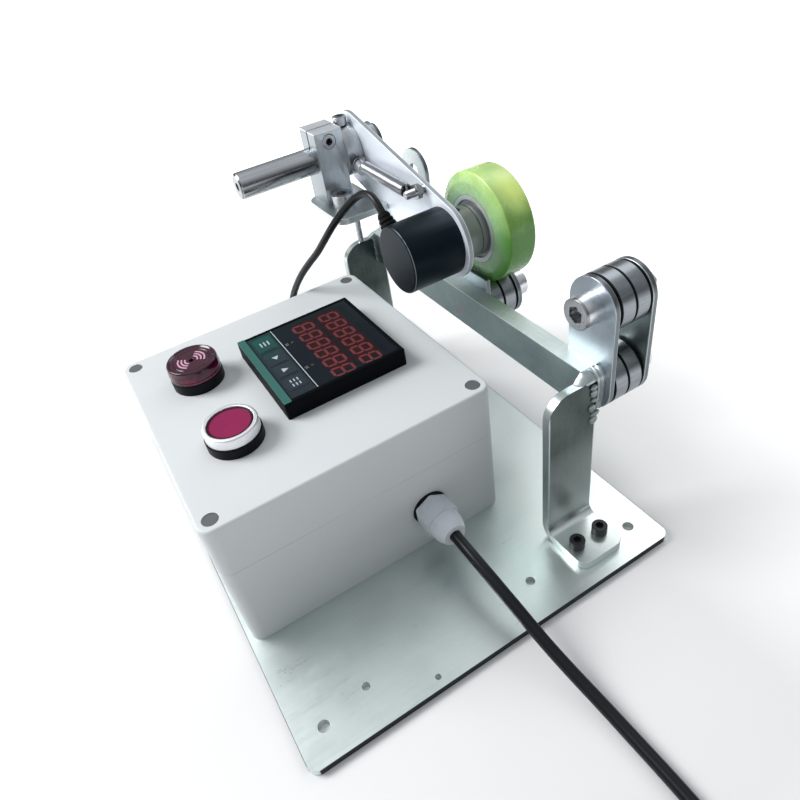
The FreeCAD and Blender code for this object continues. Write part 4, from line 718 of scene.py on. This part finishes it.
print("with the moulded ones", len(finishes))

# %% [markdown]
# ## Window, films, caps and tyre
# These change from place to place in a way of their own, so each is a formula of its own: a
# haze over the meter's digits, dots on its keys, painted shade in a groove round the button, a
# lens that is deep in its middle, and clear rubber that is pale where it is thin, with painted
# light and a painted highlight.

# %% Window and films
UPPER_ROW_X, LOWER_ROW_X = -0.0069, 0.0098
DOTS_PER_METRE, STRIP_FROM_X, STRIP_TO_X = 7000.0, -0.0389, -0.0252


def smoked_window(name):
    """Dark glass with a faint red haze over the two rows of digits."""
    finish, x, y, z = begun(name, **DULL)
    cloud = finish.noise(300.0)
    upper, lower = abs(x - UPPER_ROW_X), abs(x - LOWER_ROW_X)
    haze = upper.spread(0.0085, 0.0068).larger(lower.spread(0.0080, 0.0062))
    colour = finish.mix((0.006, 0.010, 0.014), (0.026, 0.007, 0.009), haze)
    finish.done(finish.shade(colour, 1.0 + cloud.swing(0.6)), 0.34 + cloud.swing(0.1), cloud, 0.001)


def dotted_film(name, ground, tint, strip_only):
    """Dark film with fine pale dots where sin(x w) sin(y w) is above a level; they repeat at
    every 0.9 mm along x and y. They turn green towards the stripe's far end."""
    finish, x, y, z = begun(name, **DULL)
    dots = ((x * DOTS_PER_METRE).sine() * (y * DOTS_PER_METRE).sine()).spread(0.1, 0.7)
    if strip_only:
        dots = dots * (x > STRIP_FROM_X) * (1 - (x > STRIP_TO_X))
    grain = finish.noise(2600.0)
    pale = finish.mix((0.085, 0.110, 0.130), (0.035, 0.160, 0.140), y.spread(0.012, 0.034))
    colour = finish.mix(finish.mix(ground, tint, y.spread(0.018, 0.034)), pale, dots * 0.8)
    finish.done(colour, 0.34 + dots * 0.2 + grain.swing(0.1), dots + grain * 0.3, 0.015)


smoked_window("window_dark")
dotted_film("meter_film", (0.007, 0.011, 0.016), (0.007, 0.013, 0.017), True)
dotted_film("key_film", (0.012, 0.020, 0.026), (0.012, 0.052, 0.048), False)
print("with the meter's", len(finishes))

# %% Caps and tyre
CONTROL_X, BUTTON_Y, BUZZER_Y = -0.072, -0.0198, 0.0432
HIGHLIGHT_X, HIGHLIGHT_Y, HIGHLIGHT_Z = 0.1075, -0.019, 0.1665


def ringed_cap(name):
    """Matt red plastic, with painted shade in the groove round it."""
    finish, x, y, z = begun(name, **DULL)
    grain = finish.noise(1500.0)
    cloud = finish.noise(60.0)
    groove = from_axis(x, y, CONTROL_X, BUTTON_Y).spread(0.0104, 0.0109)
    colour = finish.mix((0.230, 0.018, 0.075), (0.045, 0.003, 0.014), groove)
    finish.done(finish.shade(colour, 1.0 + cloud.swing(0.3)), 0.46 + grain.swing(0.12), grain, 0.01)


def clear_lens(name):
    """Clear dark red plastic: deep on its top, and brighter low on its side, where light comes
    through."""
    finish, x, y, z = begun(name, Specular_IOR_Level=0.5, Coat_Weight=0.2)
    cloud = finish.noise(110.0, 3.0)
    ripple = finish.noise(300.0)
    low = z.spread(0.1076, 0.1045) * cloud.spread(0.35, 0.60)
    colour = finish.mix((0.040, 0.0030, 0.016), (0.170, 0.004, 0.040), low)
    finish.done(finish.shade(colour, 1.0 + cloud.swing(1.2)), 0.14 + ripple.swing(0.1), ripple, 0.03)


def wheel_rubber(name):
    """Clear polyurethane: pale where it is thin beside the hub. Painted light makes it pale green
    towards its top and deep green low on the tread, and a painted highlight puts a yellowish spot
    on its top."""
    finish, x, y, z = begun(name, Subsurface_Weight=0.5, Subsurface_Scale=0.006, Coat_Weight=0.12)
    radius = from_axis(y, z, 0.0, WHEEL_Z)
    cloud = finish.noise(70.0, 3.0)
    grain = finish.noise(900.0, 2.0)
    pale = radius.spread(0.031, 0.021) * x.spread(0.099, 0.095)
    # Painted light: lighter towards the top and darker low down, and a painted highlight on the top.
    high = (z + cloud.swing(0.02)).spread(WHEEL_Z + 0.002, WHEEL_Z + 0.032)
    painted_highlight = ((x - HIGHLIGHT_X) ** 2 * 2.0 + (y - HIGHLIGHT_Y) ** 2 + (z - HIGHLIGHT_Z) ** 2).root()
    colour = finish.mix((0.060, 0.235, 0.014), (0.50, 0.72, 0.25), high)
    colour = finish.mix(colour, (0.78, 0.95, 0.28), painted_highlight.spread(0.016, 0.004) * 0.9)
    colour = finish.mix(colour, (0.36, 0.56, 0.34), pale * 0.8)
    finish.done(finish.shade(colour, 1.0 + cloud.swing(0.2)),
                0.26 + grain.swing(0.10) + cloud.swing(0.2), grain, 0.01)


ringed_cap("button_red")
clear_lens("lens_red")
wheel_rubber("tyre_green")
print("finishes in all", len(finishes))

# %% [markdown]
# ## Finishes on the solids
# Most solids already have the right shape and only need their finish. It is looked up by the
# solid's own name, then by its slot's, and some slots are named as their finish. Solids with
# visible flat faces and square edges are replaced by softened copies.

# %% Dress the solids
finish_of = {
    "plate_steel": "base_zinc", "frame_steel": "frame_zinc", "cheek_steel": "cheek_zinc",
    "meter_sheet": "meter_film", "meter_window": "window_dark", "red_plastic": "button_red",
    "red_lens": "lens_red", "chrome_ring": "satin_ring", "zinc_screw": "small_screw",
    "black_bolt": "screw_black", "bearing_steel": "bearing_metal", "turned_steel": "drawn_steel",
    "block_steel": "block_zinc", "arm_aluminium": "arm_zinc", "turned_aluminium": "hub_metal",
    "green_polyurethane": "tyre_green", "encoder_black": "encoder_paint",
    "spring_wire": "spring_steel", "white_nylon": "nylon_white", "black_rubber": "rubber_black",
    "cord_sheath": "flex_black", "plug_rubber": "rubber_black",
    "crossbar": "bar_zinc", "roller_bolts": "bolt_zinc", "roller_nuts": "bolt_zinc",
    "clamp_screw": "clamp_steel", "spring_collar": "collar_metal", "arm_hub": "collar_metal",
    "bracket_plate": "bracket_zinc", "outer_cheeks": "outer_zinc",
}
for name, node in nodes.items():
    slot = slot_of[name]
    finish = finish_of.get(name) or finish_of.get(slot, slot)
    node.data.materials.clear()
    node.data.materials.append(finishes[finish])

SOFT_EDGES = {
    "base_plate": 0.4, "near_upright": 0.7, "far_upright": 0.7, "crossbar": 0.8,
    "near_inner_cheek": 0.4, "mid_inner_cheek": 0.4, "far_inner_cheek": 0.4,
    "outer_cheeks": 0.4, "arm_plate": 0.4, "bracket_plate": 0.4, "clamp_block": 0.6,
    "enclosure_base": 0.35, "enclosure_lid": 0.3, "meter_case": 0.3, "encoder_body": 0.3,
    "wheel_hub": 0.25, "spring_collar": 0.5, "gland_nut": 0.3, "gland_body": 0.3,
    "roller_nuts": 0.4, "lid_screw_caps": 0.2, "buzzer_base": 0.3, "button_base": 0.3,
    "mains_plug": 0.8,
}
soft = {name: softened(name, width) for name, width in SOFT_EDGES.items()}
print("softened", len(soft))

# %% [markdown]
# ## Cords and plug
# Both cords are tubes whose rings are square to their line at every point. The supply cord is
# one piece from the gland to the plug. The plug's strain relief is a ribbed sleeve: a cone with
# a smooth wave on its radius. The encoder lead rides on no body.

# %% Cords and plug
PLUG_START_X, PLUG_Y, PLUG_Z = -88.8, -324.0, 13.0
SLEEVE_LONG, SLEEVE_RIBS, RIB_HIGH = 23.0, 7, 0.45
SLEEVE_R, SLEEVE_GROWS, SLEEVE_BORE_R = 4.3, 3.9, 3.2


def wave(along, step):
    """A sine that repeats at every step."""
    return np.sin(2 * np.pi * along / step)


mains_flex = add_piece("mains_flex", [tube(mains_line, CORD_D / 2 * MM, (0.0, 0.0, 1.0), 18)],
                       "frame", "flex_black", ["mains_cord", "mains_coil"], scale=1.0)
along = np.linspace(0.0, SLEEVE_LONG, 12 * SLEEVE_RIBS + 1)
rib = RIB_HIGH * wave(along, SLEEVE_LONG / SLEEVE_RIBS) ** 2
sleeve_radius = SLEEVE_R + SLEEVE_GROWS * along / SLEEVE_LONG + rib
sleeve_profile = np.vstack([[(0.0, SLEEVE_BORE_R)], np.column_stack([along, sleeve_radius]),
                            [(SLEEVE_LONG, SLEEVE_BORE_R)]])
sleeve = add_piece("plug_sleeve", [turned(sleeve_profile, (PLUG_START_X, PLUG_Y, PLUG_Z),
                                          (-1.0, 0.0, 0.0), 40)],
                   "frame", "rubber_black")

lead = add_piece("encoder_flex", [tube(lead_line, LEAD_D / 2 * MM, (1.0, 0.0, 0.0))], None,
                 "flex_black", ["encoder_lead"], scale=1.0)
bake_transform(lead)

# %% [markdown]
# ## The panel meter's face
# A panel meter is read from its front, so its face carries most of what the eye looks for: a
# coloured stripe, four membrane keys on a dotted strip, a thin line, two lamps, and two rows
# of six digits in a dark red window. Each but the lamps is a low prism, so it has an edge that
# catches light. A digit is seven bars with pointed ends; its top is towards +x and it is read
# towards -y, and a small slant leans it as on a real display.

# %% Outlines, prisms and lumps
def floats(*rows):
    """Numbers or rows as one array of floats."""
    return np.array(rows, float)


def prisms(outlines, low, high):
    """Outlines are (count, corners, 2) in x and y; each is carried up from low to high."""
    outlines = np.asarray(outlines, float)
    count, corners = outlines.shape[:2]
    flat = outlines.reshape(-1, 2)
    levels = [np.column_stack([flat, np.full(len(flat), z)]) for z in (low, high)]
    first = np.arange(count)[:, None] * corners
    k = np.arange(corners)[None, :]
    upper = count * corners
    ring = (first + k, first + (k + 1) % corners)
    sides = np.stack([ring[0], ring[1], ring[1] + upper, ring[0] + upper], -1).reshape(-1, 4)
    return np.vstack(levels), [sides, first + k[:, ::-1], first + k + upper]


def eased(profile, reach, steps=4, closed=True):
    """Rounds the corners of a line of points, flat or in space: near each corner it follows
    (1-t)^2 a + 2t(1-t) corner + t^2 b, with a and b on the two sides, reach away from it."""
    profile = np.asarray(profile, float)
    before, after = np.roll(profile, 1, 0) - profile, np.roll(profile, -1, 0) - profile
    if not closed:
        before[0] = after[-1] = 0.0
    length_before = np.maximum(np.linalg.norm(before, axis=1), 1e-9)
    length_after = np.maximum(np.linalg.norm(after, axis=1), 1e-9)
    a = profile + before * np.minimum(reach / length_before, 0.45)[:, None]
    b = profile + after * np.minimum(reach / length_after, 0.45)[:, None]
    t = np.linspace(0.0, 1.0, steps)[None, :, None]
    curve = (1 - t) ** 2 * a[:, None] + 2 * t * (1 - t) * profile[:, None] + t ** 2 * b[:, None]
    rounded = curve.reshape(-1, profile.shape[1])
    if not closed:
        rounded = np.vstack([profile[:1], rounded[steps:-steps], profile[-1:]])
    return rounded


def rounded_box(wide, deep, radius, steps=5):
    """An outline of wide by deep about 0, 0, with eased corners."""
    w, d = wide / 2, deep / 2
    return eased([(-w, -d), (w, -d), (w, d), (-w, d)], radius, steps)


def placed(outline, places):
    """Copies of one outline about each place."""
    return np.asarray(outline)[None] + np.asarray(places, float)[:, None]


def lump(centre, reach, rows=10, steps=16):
    """A drop with different reaches along x, y and z: centre + reach * a point of a unit ball."""
    angle = np.linspace(0.0, np.pi, rows)
    profile = np.column_stack([-np.cos(angle), np.sin(angle)])
    points, faces = turned(profile, (0, 0, 0), (0, 0, 1), steps, False)
    return points * reach + centre, faces

# %% Digits
FACE_Z, DIGIT_HIGH = 104.2, 0.06
DIGIT_ROWS = [(-12.6, 11.4), (4.6, 10.4)]  # where a row's digits start in x, and how tall
DIGIT_Y = np.array([34.6, 24.2, 13.8, 3.4, -7.0, -17.4])
DIGIT_WIDE, DIGIT_STROKE, DIGIT_SLANT = 6.8, 1.5, 0.10


def pointed_bar(length, stroke):
    """A bar along the first axis whose two ends come to a point: six corners."""
    h = stroke / 2
    return floats((0, 0), (h, h), (length - h, h), (length, 0), (length - h, -h), (h, -h))


def figure_eight(wide, high, stroke):
    """Seven bars, three across and four upright, from the lower left corner."""
    gap = 0.12 * stroke
    across = pointed_bar(wide - 2 * gap, stroke) + (gap, 0)
    tall = pointed_bar(high / 2 - 2 * gap, stroke)[:, ::-1] + (0, gap)
    rows = [across + (0, k * high / 2) for k in range(3)]
    sides = [tall + (i * wide, j * high / 2) for i in range(2) for j in range(2)]
    return np.array(rows + sides)


def digit_row(low_x, high):
    """All digits of a row: across becomes -y and up becomes x, leaned by the slant."""
    bars = figure_eight(DIGIT_WIDE, high, DIGIT_STROKE)
    across = bars[..., 0] + DIGIT_SLANT * bars[..., 1]
    x = low_x + bars[..., 1][None] + np.zeros((len(DIGIT_Y), 1, 1))
    y = DIGIT_Y[:, None, None] + DIGIT_WIDE / 2 - across[None]
    return np.stack([x, y], -1).reshape(-1, 6, 2)


face_digits = [prisms(digit_row(*row), FACE_Z, FACE_Z + DIGIT_HIGH) for row in DIGIT_ROWS]
add_piece("meter_digits", face_digits, "frame", "digit_red")

# %% Stripe, keys and marks
STRIPE = (-42.0, 11.3, 4.4, 71.2)  # its middle's x and y, its size along x and y
KEY_X, KEY_WIDE, KEY_BORDER = -31.8, 11.4, 1.4
KEYS = [(34.0, 15.6), (16.9, 13.0), (3.3, 11.8), (-10.6, 11.8)]  # middle y, size along y
STRIPE_TOP, KEY_TOP, KEY_CROWN, *MARK_Z = FACE_Z + floats(0.36, 0.20, 0.32, 0.30, 0.37)

stripe = placed(rounded_box(STRIPE[2], STRIPE[3], 0.8), [STRIPE[:2]])
add_piece("meter_stripe", [prisms(stripe, FACE_Z - 0.05, STRIPE_TOP)], "frame",
          "stripe_green")
for number, (y, deep) in enumerate(KEYS):
    key = placed(rounded_box(KEY_WIDE, deep, 1.6), [(KEY_X, y)])
    inner = placed(rounded_box(KEY_WIDE - KEY_BORDER, deep - KEY_BORDER, 1.2), [(KEY_X, y)])
    add_piece("meter_key_%d" % number, [prisms(key, FACE_Z, KEY_TOP),
                                        prisms(inner, FACE_Z + 0.1, KEY_CROWN)],
              "frame", "key_film")

menu_bars = placed(rounded_box(0.8, 4.6, 0.3), [(KEY_X - 2.2, 34.0), (KEY_X, 34.0),
                                                (KEY_X + 2.2, 34.0)])
key_bars = placed(rounded_box(0.7, 2.6, 0.3), [(KEY_X + i * 2.0, -10.6 + j * 2.0)
                                               for i in (-1, 0, 1) for j in (-1, 1)])
arrows = [[(KEY_X - 2.0, 18.4), (KEY_X + 2.0, 18.4), (KEY_X, 15.0)],
          [(KEY_X - 1.7, 5.3), (KEY_X - 1.7, 1.3), (KEY_X + 1.9, 3.3)]]
add_piece("key_marks", [prisms(menu_bars, *MARK_Z), prisms(key_bars, *MARK_Z),
                        prisms(arrows, *MARK_Z)], "frame", "print_white")

# %% Line and lamps
LINE = (-23.95, 11.5, 0.5, 69.0)  # its middle's x and y, its size along x and y
LINE_HIGH, LAMP_MARK_HIGH = 0.05, 0.04
LAMP_X, LAMP_MARK_X, LAMP_Y = -18.0, -21.6, (24.8, -2.7)

line = placed(rounded_box(LINE[2], LINE[3], 0.1), [LINE[:2]])
lamp_marks = placed(rounded_box(1.8, 0.7, 0.2),
                    [(LAMP_MARK_X, y + j) for y in LAMP_Y for j in (-0.7, 0.7)])
add_piece("face_line", [prisms(line, FACE_Z, FACE_Z + LINE_HIGH)], "frame",
          "print_white")
add_piece("lamp_marks", [prisms(lamp_marks, FACE_Z, FACE_Z + LAMP_MARK_HIGH)], "frame",
          "print_grey")
add_piece("face_lamps", [lump((LAMP_X, y, FACE_Z), (0.9, 0.9, 0.3)) for y in LAMP_Y], "frame",
          "lamp_dim")

# %% [markdown]
# ## Push button and buzzer
# Both are turned parts, so each is one profile of height and radius carried round an axis. The
# button's cap is flat and matt, and lies inside a broad satin ring. The buzzer is a clear red
# cap with a sound hole and ridges in its top, shaped as the usual sign for a sound. The
# button's spring is a merged copy of its solid, and rides on no body.

# %% Push button
BUTTON_AT = floats(CONTROL_X, BUTTON_Y, 0.0) / MM
UPWARDS = (0.0, 0.0, 1.0)
bezel_profile = eased([(99.5, 12.0), (99.5, 14.35), (105.2, 14.3), (106.1, 13.7),
                       (106.2, 12.3), (105.6, 11.95), (103.2, 11.9)], 0.35)
cap_profile = eased([(103.95, 0.0), (103.95, 11.4), (105.4, 11.4), (105.6, 11.0), (105.3, 10.6),
                     (105.3, 0.0)], 0.2, closed=False)
add_piece("bezel_ring", [turned(bezel_profile, BUTTON_AT, UPWARDS)], "frame",
          "satin_ring", ["button_bezel"])
button_coil = merged_copy("button_spring")
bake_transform(button_coil)
add_piece("cap_red", [turned(cap_profile, BUTTON_AT, UPWARDS)], "button",
          "button_red", ["button_cap"])

# %% Buzzer
BUZZER_AT = floats(CONTROL_X, BUZZER_Y, 0.0) / MM
BUZZER_TOP = 108.3
RIDGE_WIDE, RIDGE_HALF_TURN = 0.9, 46.0
RIDGE_RADII, RIDGE_MIDDLES = (3.6, 5.6, 7.6), (10.0, 190.0)


def arc_band(radius, width, middle, half, steps=14):
    """An outline between two arcs, half degrees each side of the middle direction."""
    angle = np.radians(np.linspace(middle - half, middle + half, steps))
    arc = np.column_stack([np.cos(angle), np.sin(angle)])
    return np.vstack([arc * (radius - width / 2), arc[::-1] * (radius + width / 2)])


buzzer_profile = eased([(100.8, 0.0), (100.8, 14.5), (102.4, 14.5), (102.4, 14.2), (102.9, 14.2),
                        (102.9, 14.7), (108.3, 14.3), (109.1, 13.7), (109.1, 13.0),
                        (BUZZER_TOP, 12.1), (BUZZER_TOP, 10.6), (108.0, 10.4), (108.0, 10.0),
                        (BUZZER_TOP, 9.8), (BUZZER_TOP, 1.4), (105.4, 1.2), (105.4, 0.0)],
                       0.3, closed=False)
add_piece("buzzer_lens", [turned(buzzer_profile, BUZZER_AT, UPWARDS)], "frame",
          "lens_red", ["buzzer_cap"])
waves = [arc_band(radius, RIDGE_WIDE, middle, RIDGE_HALF_TURN) + BUZZER_AT[:2]
         for radius in RIDGE_RADII for middle in RIDGE_MIDDLES]
add_piece("buzzer_ridges", [prisms(waves, BUZZER_TOP - 0.1, BUZZER_TOP + 0.3)], "frame",
          "print_pink")

# %% [markdown]
# ## Measuring wheel's tyre
# The tyre is cast on the hub. Its corners are eased, because it is soft, and its left face
# slopes to the tread.

# %% Tyre
tyre_profile = eased([(93.75, 19.33), (93.75, 26.6), (96.0, 31.83), (112.4, 31.83),
                      (113.4, 30.8), (113.4, 25.0), (112.25, 24.0), (112.25, 19.33)], 0.7, 6)
add_piece("tyre", [turned(tyre_profile, (0.0, 0.0, WHEEL_Z * MM_PER_METRE), (1.0, 0.0, 0.0), 160)],
          "wheel", "tyre_green", ["wheel_tyre"])

# %% [markdown]
# ## Return spring and its post
# An extension spring is one wire: close turns, and a ring at each end. The turns are a helix,
# centre + r * (cos a * u + sin a * v) + pitch * a / 2 pi along the axis. One ring hangs on the
# arm's threaded post and the other on the collar's screw; the spring is one mesh, on no body.

# %% Return spring
COIL_R, RING_R, WIRE_D, NECK_R = 3.15, 3.3, 1.3, 0.6
FIRST_TURN, LAST_GAP, TURN_STEP, HOOK_REACH = 6.0, 10.5, WIRE_D * 1.02, 5.55
POST_RING_X, COLLAR_RING_X, SCREW_ANGLE, SCREW_REACH = 67.8, 70.2, math.radians(196.0), 16.8
X_WAY = floats(1.0, 0.0, 0.0)
post_ring = floats(POST_RING_X, 18.0, 166.03)
collar_out = floats(0.0, math.cos(SCREW_ANGLE), math.sin(SCREW_ANGLE))
pivot = floats(COLLAR_RING_X, PIVOT_Y * MM_PER_METRE, PIVOT_Z * MM_PER_METRE)
collar_ring = pivot + SCREW_REACH * collar_out
spring_way = unit(collar_ring - post_ring)
u_way = unit(np.cross(X_WAY, spring_way))
v_way = np.cross(spring_way, u_way)


def ring_path(centre, first, second, end=350.0):
    """A ring's wire: centre + r * (cos a * first + sin a * second), from 0 to end degrees."""
    angle = np.radians(np.linspace(0.0, end, 44))[:, None]
    return centre + RING_R * (np.cos(angle) * first + np.sin(angle) * second)


reach = float(np.linalg.norm(collar_ring - post_ring))
turns = (reach - FIRST_TURN - LAST_GAP) / TURN_STEP
travel = np.linspace(FIRST_TURN, reach - LAST_GAP, int(turns * 16))[:, None]
angle = 2 * np.pi * (travel - FIRST_TURN) / TURN_STEP
helix = post_ring + travel * spring_way + COIL_R * (np.cos(angle) * u_way + np.sin(angle) * v_way)
neck = np.linspace(RING_R, FIRST_TURN, 9)[:, None]
near_neck = post_ring + neck * spring_way + COIL_R * eased_step(neck, 4.0, 6.0) * u_way
up_way = unit(np.cross(collar_out, X_WAY))
last_turn = post_ring + (reach - LAST_GAP) * spring_way
far_wire = eased(np.array([collar_ring + up_way * RING_R,
                           collar_ring + up_way * HOOK_REACH,
                           last_turn + u_way * HOOK_REACH, last_turn + u_way * COIL_R]),
                 1.6, 6, closed=False)
spring = add_piece("spring_wire", [
    tube(helix, WIRE_D / 2, spring_way, 8), tube(near_neck, NECK_R, X_WAY, 8),
    tube(ring_path(post_ring, spring_way, v_way), WIRE_D / 2, X_WAY, 10),
    tube(ring_path(collar_ring, up_way, X_WAY, 359.0), WIRE_D / 2, collar_out, 10),
    tube(far_wire, NECK_R, X_WAY, 8)], None, "spring_steel", ["return_spring"])
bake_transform(spring)

# %% Spring's post
POST_START, POST_END, THREAD_END = 63.6, 78.5, 76.0
THREAD_R, THREAD_DEEP, THREAD_STEP, TIP_R = 2.28, 0.17, 0.8, 2.4
thread = np.linspace(POST_START + 0.4, THREAD_END, 121)
thread_radius = THREAD_R + THREAD_DEEP * wave(thread - POST_START, THREAD_STEP)
post_profile = np.vstack([[(POST_START, 0.0), (POST_START, 1.9)],
                          np.column_stack([thread, thread_radius]),
                          [(THREAD_END, TIP_R), (POST_END, TIP_R), (POST_END, 0.0)]])
post_centre = (0.0, post_ring[1], post_ring[2])
nut_profile = [(70.4, 2.1), (70.4, 3.7), (70.8, 4.1), (73.2, 4.1), (73.6, 3.7), (73.6, 2.1)]
washer_profile = [(69.7, 2.1), (69.7, 4.2), (70.3, 4.2), (70.3, 2.1)]
add_piece("post_stud", [turned(post_profile, post_centre, X_WAY, 32, False),
                        turned(nut_profile, post_centre, X_WAY, 6),
                        turned(washer_profile, post_centre, X_WAY, 32)],
          "arm", "small_screw", ["spring_post"], sharp=30.0)

# %% [markdown]
# ## Welds
# The crossbar is welded between the uprights by hand. A weld is a row of overlapping drops
# that froze one after another: bright, lumpy, with ripples across its run. A sloped fillet
# carries the bar's top down to the upright's, drops run down the corner beside the bar's end
# over a rough fill, and a thin bead closes the seams inside.

# %% Welds
BAR_X0, BAR_END_Y, BAR_TOP, BAR_LOW = 80.0, 104.0, 108.7, 86.0
UPRIGHT_X1, UPRIGHT_OUT_Y, UPRIGHT_TOP = 86.0, 109.0, 104.0
DROP_X, DROP_LOW, DROP_HIGH, DROP_STEP, BEAD_STEP = 84.4, 78.6, 103.0, 4.4, 2.7
SLOPE_X, SLOPE_GROWS_X, FILL_X = (72.0, 86.0), (73.0, 82.0), (84.9, 89.9)


def swept(profile, places, centre, swell):
    """Profile rows are (y, z), carried along x through the places; swell has a row for each
    place, by which the section grows or shrinks about its centre. The profile closes both ends."""
    profile, places = np.asarray(profile, float), np.asarray(places, float)
    section = centre + (profile - centre) * swell[:, None]
    x = np.broadcast_to(places[:, None, None], (len(places), len(profile), 1))
    points = np.concatenate([x, section], -1).reshape(-1, 3)
    last = len(points) - len(profile)
    around = np.arange(len(profile))[None, :]
    sides = grid_faces(len(places), len(profile), False, True)
    return points, [sides, around, around + last]


def welds(side):
    """All welds of one end; side is -1 at the near upright and 1 at the far one. The slope and
    the fill are outlines of y and z carried along x, swelling by small waves; drops sway about
    a straight line by sines of their number; the beads are tubes whose radius is a wave too."""
    end, out = side * BAR_END_Y, side * UPRIGHT_OUT_Y
    slope = [(end - side * 1.5, BAR_TOP + 0.05), (end + side * 1.6, 108.2),
             (end + side * 3.6, 106.6), (out + side * 0.2, 104.3), (out + side * 0.3, 102.8),
             (end, 102.4), (end - side * 1.5, 106.0)]
    fill = [(end - side * 0.5, BAR_TOP - 0.1), (out - side * 1.6, 107.6), (out + side * 0.5, 105.6),
            (out + side * 1.5, 102.5), (out + side * 1.4, 94.0), (out + side * 0.2, 84.5),
            (out - side * 2.5, 83.0), (end, 84.0)]
    along, deep = np.linspace(*SLOPE_X, 40), np.linspace(*FILL_X, 26)
    grown = eased_step(along, *SLOPE_GROWS_X) * (1.0 + 0.02 * wave(along, 3.3))
    rough = 1.0 + 0.035 * wave(deep, 2.2) + 0.02 * wave(deep, 1.3)
    pieces = [swept(eased(slope, 1.2), along, (end + side * 2.5, 103.7),
                    np.column_stack([0.6 + 0.4 * grown, grown])),
              swept(eased(fill, 1.2), deep, (out, 95.0), np.column_stack([rough, rough]))]
    for number, z in enumerate(np.arange(DROP_LOW, DROP_HIGH, DROP_STEP)):
        sway = math.sin(2.4 * number)
        stand = 0.03 * max(z - 84.0, 0.0)
        centre = (DROP_X + 1.3 * sway, out + side * stand, z + 0.5 * math.sin(5.0 * number))
        pieces.append(lump(centre, (2.9 + 0.6 * sway, 1.1, 2.3 + 0.5 * math.cos(3.1 * number))))
    inside = np.linspace(BAR_LOW, UPRIGHT_TOP, 60)
    thick = 1.35 + 0.18 * wave(inside, BEAD_STEP)
    corner = np.column_stack([np.full(60, BAR_X0 - 0.1), np.full(60, end - side * 0.2), inside])
    pieces.append(tube(corner, thick, X_WAY, 12))
    under = np.linspace(BAR_X0, UPRIGHT_X1, 30)
    below = np.column_stack([under, np.full(30, end - side * 0.1), np.full(30, BAR_LOW - 0.2)])
    pieces.append(tube(below, 1.3 + 0.16 * wave(under, BEAD_STEP), UPWARDS, 12))
    return pieces


for side, where in ((-1, "near"), (1, "far")):
    add_piece("weld_" + where, welds(side), "frame", "weld_metal", sharp=60.0)

# %% [markdown]
# ## Floor and light
# A pale floor that reaches past the view, a large soft window above and behind on the left,
# which brightens the tops and leaves the front faces in shade, a small panel on the right, and
# a sky that is brighter overhead than at its rim.

# %% Studio
def studio_floor(name):
    """Pale and matt, with a glow that grows away from the part and in its shadow on the right,
    so it ends in white."""
    finish, x, y, z = begun(name, Emission_Strength=0.85)
    away = from_axis(x, y).spread(0.26, 0.62).larger(x.spread(0.09, 0.30) * 0.8)
    cloud = finish.noise(60.0)
    finish.feed(Base_Color=finish.shade((0.80, 0.80, 0.80), 1.0 + cloud.swing(0.01)),
                Roughness=0.6 + cloud.swing(0.05),
                Emission_Color=finish.mix((0.0, 0.0, 0.0), (1.0, 1.0, 1.0), away))


studio_floor("floor_pale")
FLOOR_REACH, FLOOR_TOP, FLOOR_LOW = 14.0, -0.0003, -0.02
corners = [(-FLOOR_REACH, -FLOOR_REACH), (FLOOR_REACH, -FLOOR_REACH), (FLOOR_REACH, FLOOR_REACH),
           (-FLOOR_REACH, FLOOR_REACH)]
floor = add_piece("floor", [prisms([corners], FLOOR_LOW, FLOOR_TOP)], None,
                  "floor_pale", scale=1.0)


def soft_light(name, place, target, size, power):
    """A square area light at a place, facing its target."""
    light = bpy.data.lights.new(name, "AREA")
    light.shape = "SQUARE"
    light.size = size
    light.energy = power
    lamp = bpy.data.objects.new(name, light)
    back = unit(np.subtract(place, target))
    right = unit(np.cross(UPWARDS, back))
    up = np.cross(back, right)
    lamp.matrix_world = Matrix(np.column_stack([right, up, back])).to_4x4()
    lamp.matrix_world.translation = place
    bpy.context.scene.collection.objects.link(lamp)


soft_light("window", (-0.90, 0.62, 1.05), target=(0.0, 0.0, 0.05), size=0.7, power=22.0)
soft_light("right_panel", (1.05, 0.45, 1.20), target=(0.05, -0.05, 0.0), size=0.7, power=3.0)

# %% Sky
SKY_RAMP = {"From Min": 0.1, "From Max": 0.9, "To Min": 0.13, "To Max": 0.70}
SKY_COLOUR = (0.93, 0.97, 1.0, 1.0)

world = bpy.data.worlds.new("studio")
world.use_nodes = True
sky = world.node_tree
direction = sky.nodes.new("ShaderNodeTexCoord")
height = sky.nodes.new("ShaderNodeSeparateXYZ")
strength = sky.nodes.new("ShaderNodeMapRange")
for socket, value in SKY_RAMP.items():
    strength.inputs[socket].default_value = value
sky.links.new(direction.outputs["Generated"], height.inputs[0])
sky.links.new(height.outputs["Z"], strength.inputs["Value"])
sky.links.new(strength.outputs[0], sky.nodes["Background"].inputs["Strength"])
sky.nodes["Background"].inputs["Color"].default_value = SKY_COLOUR
bpy.context.scene.world = world
bpy.context.scene.view_settings.view_transform = "Standard"
print("sky from", SKY_RAMP["To Min"], "at its rim to", SKY_RAMP["To Max"], "overhead")
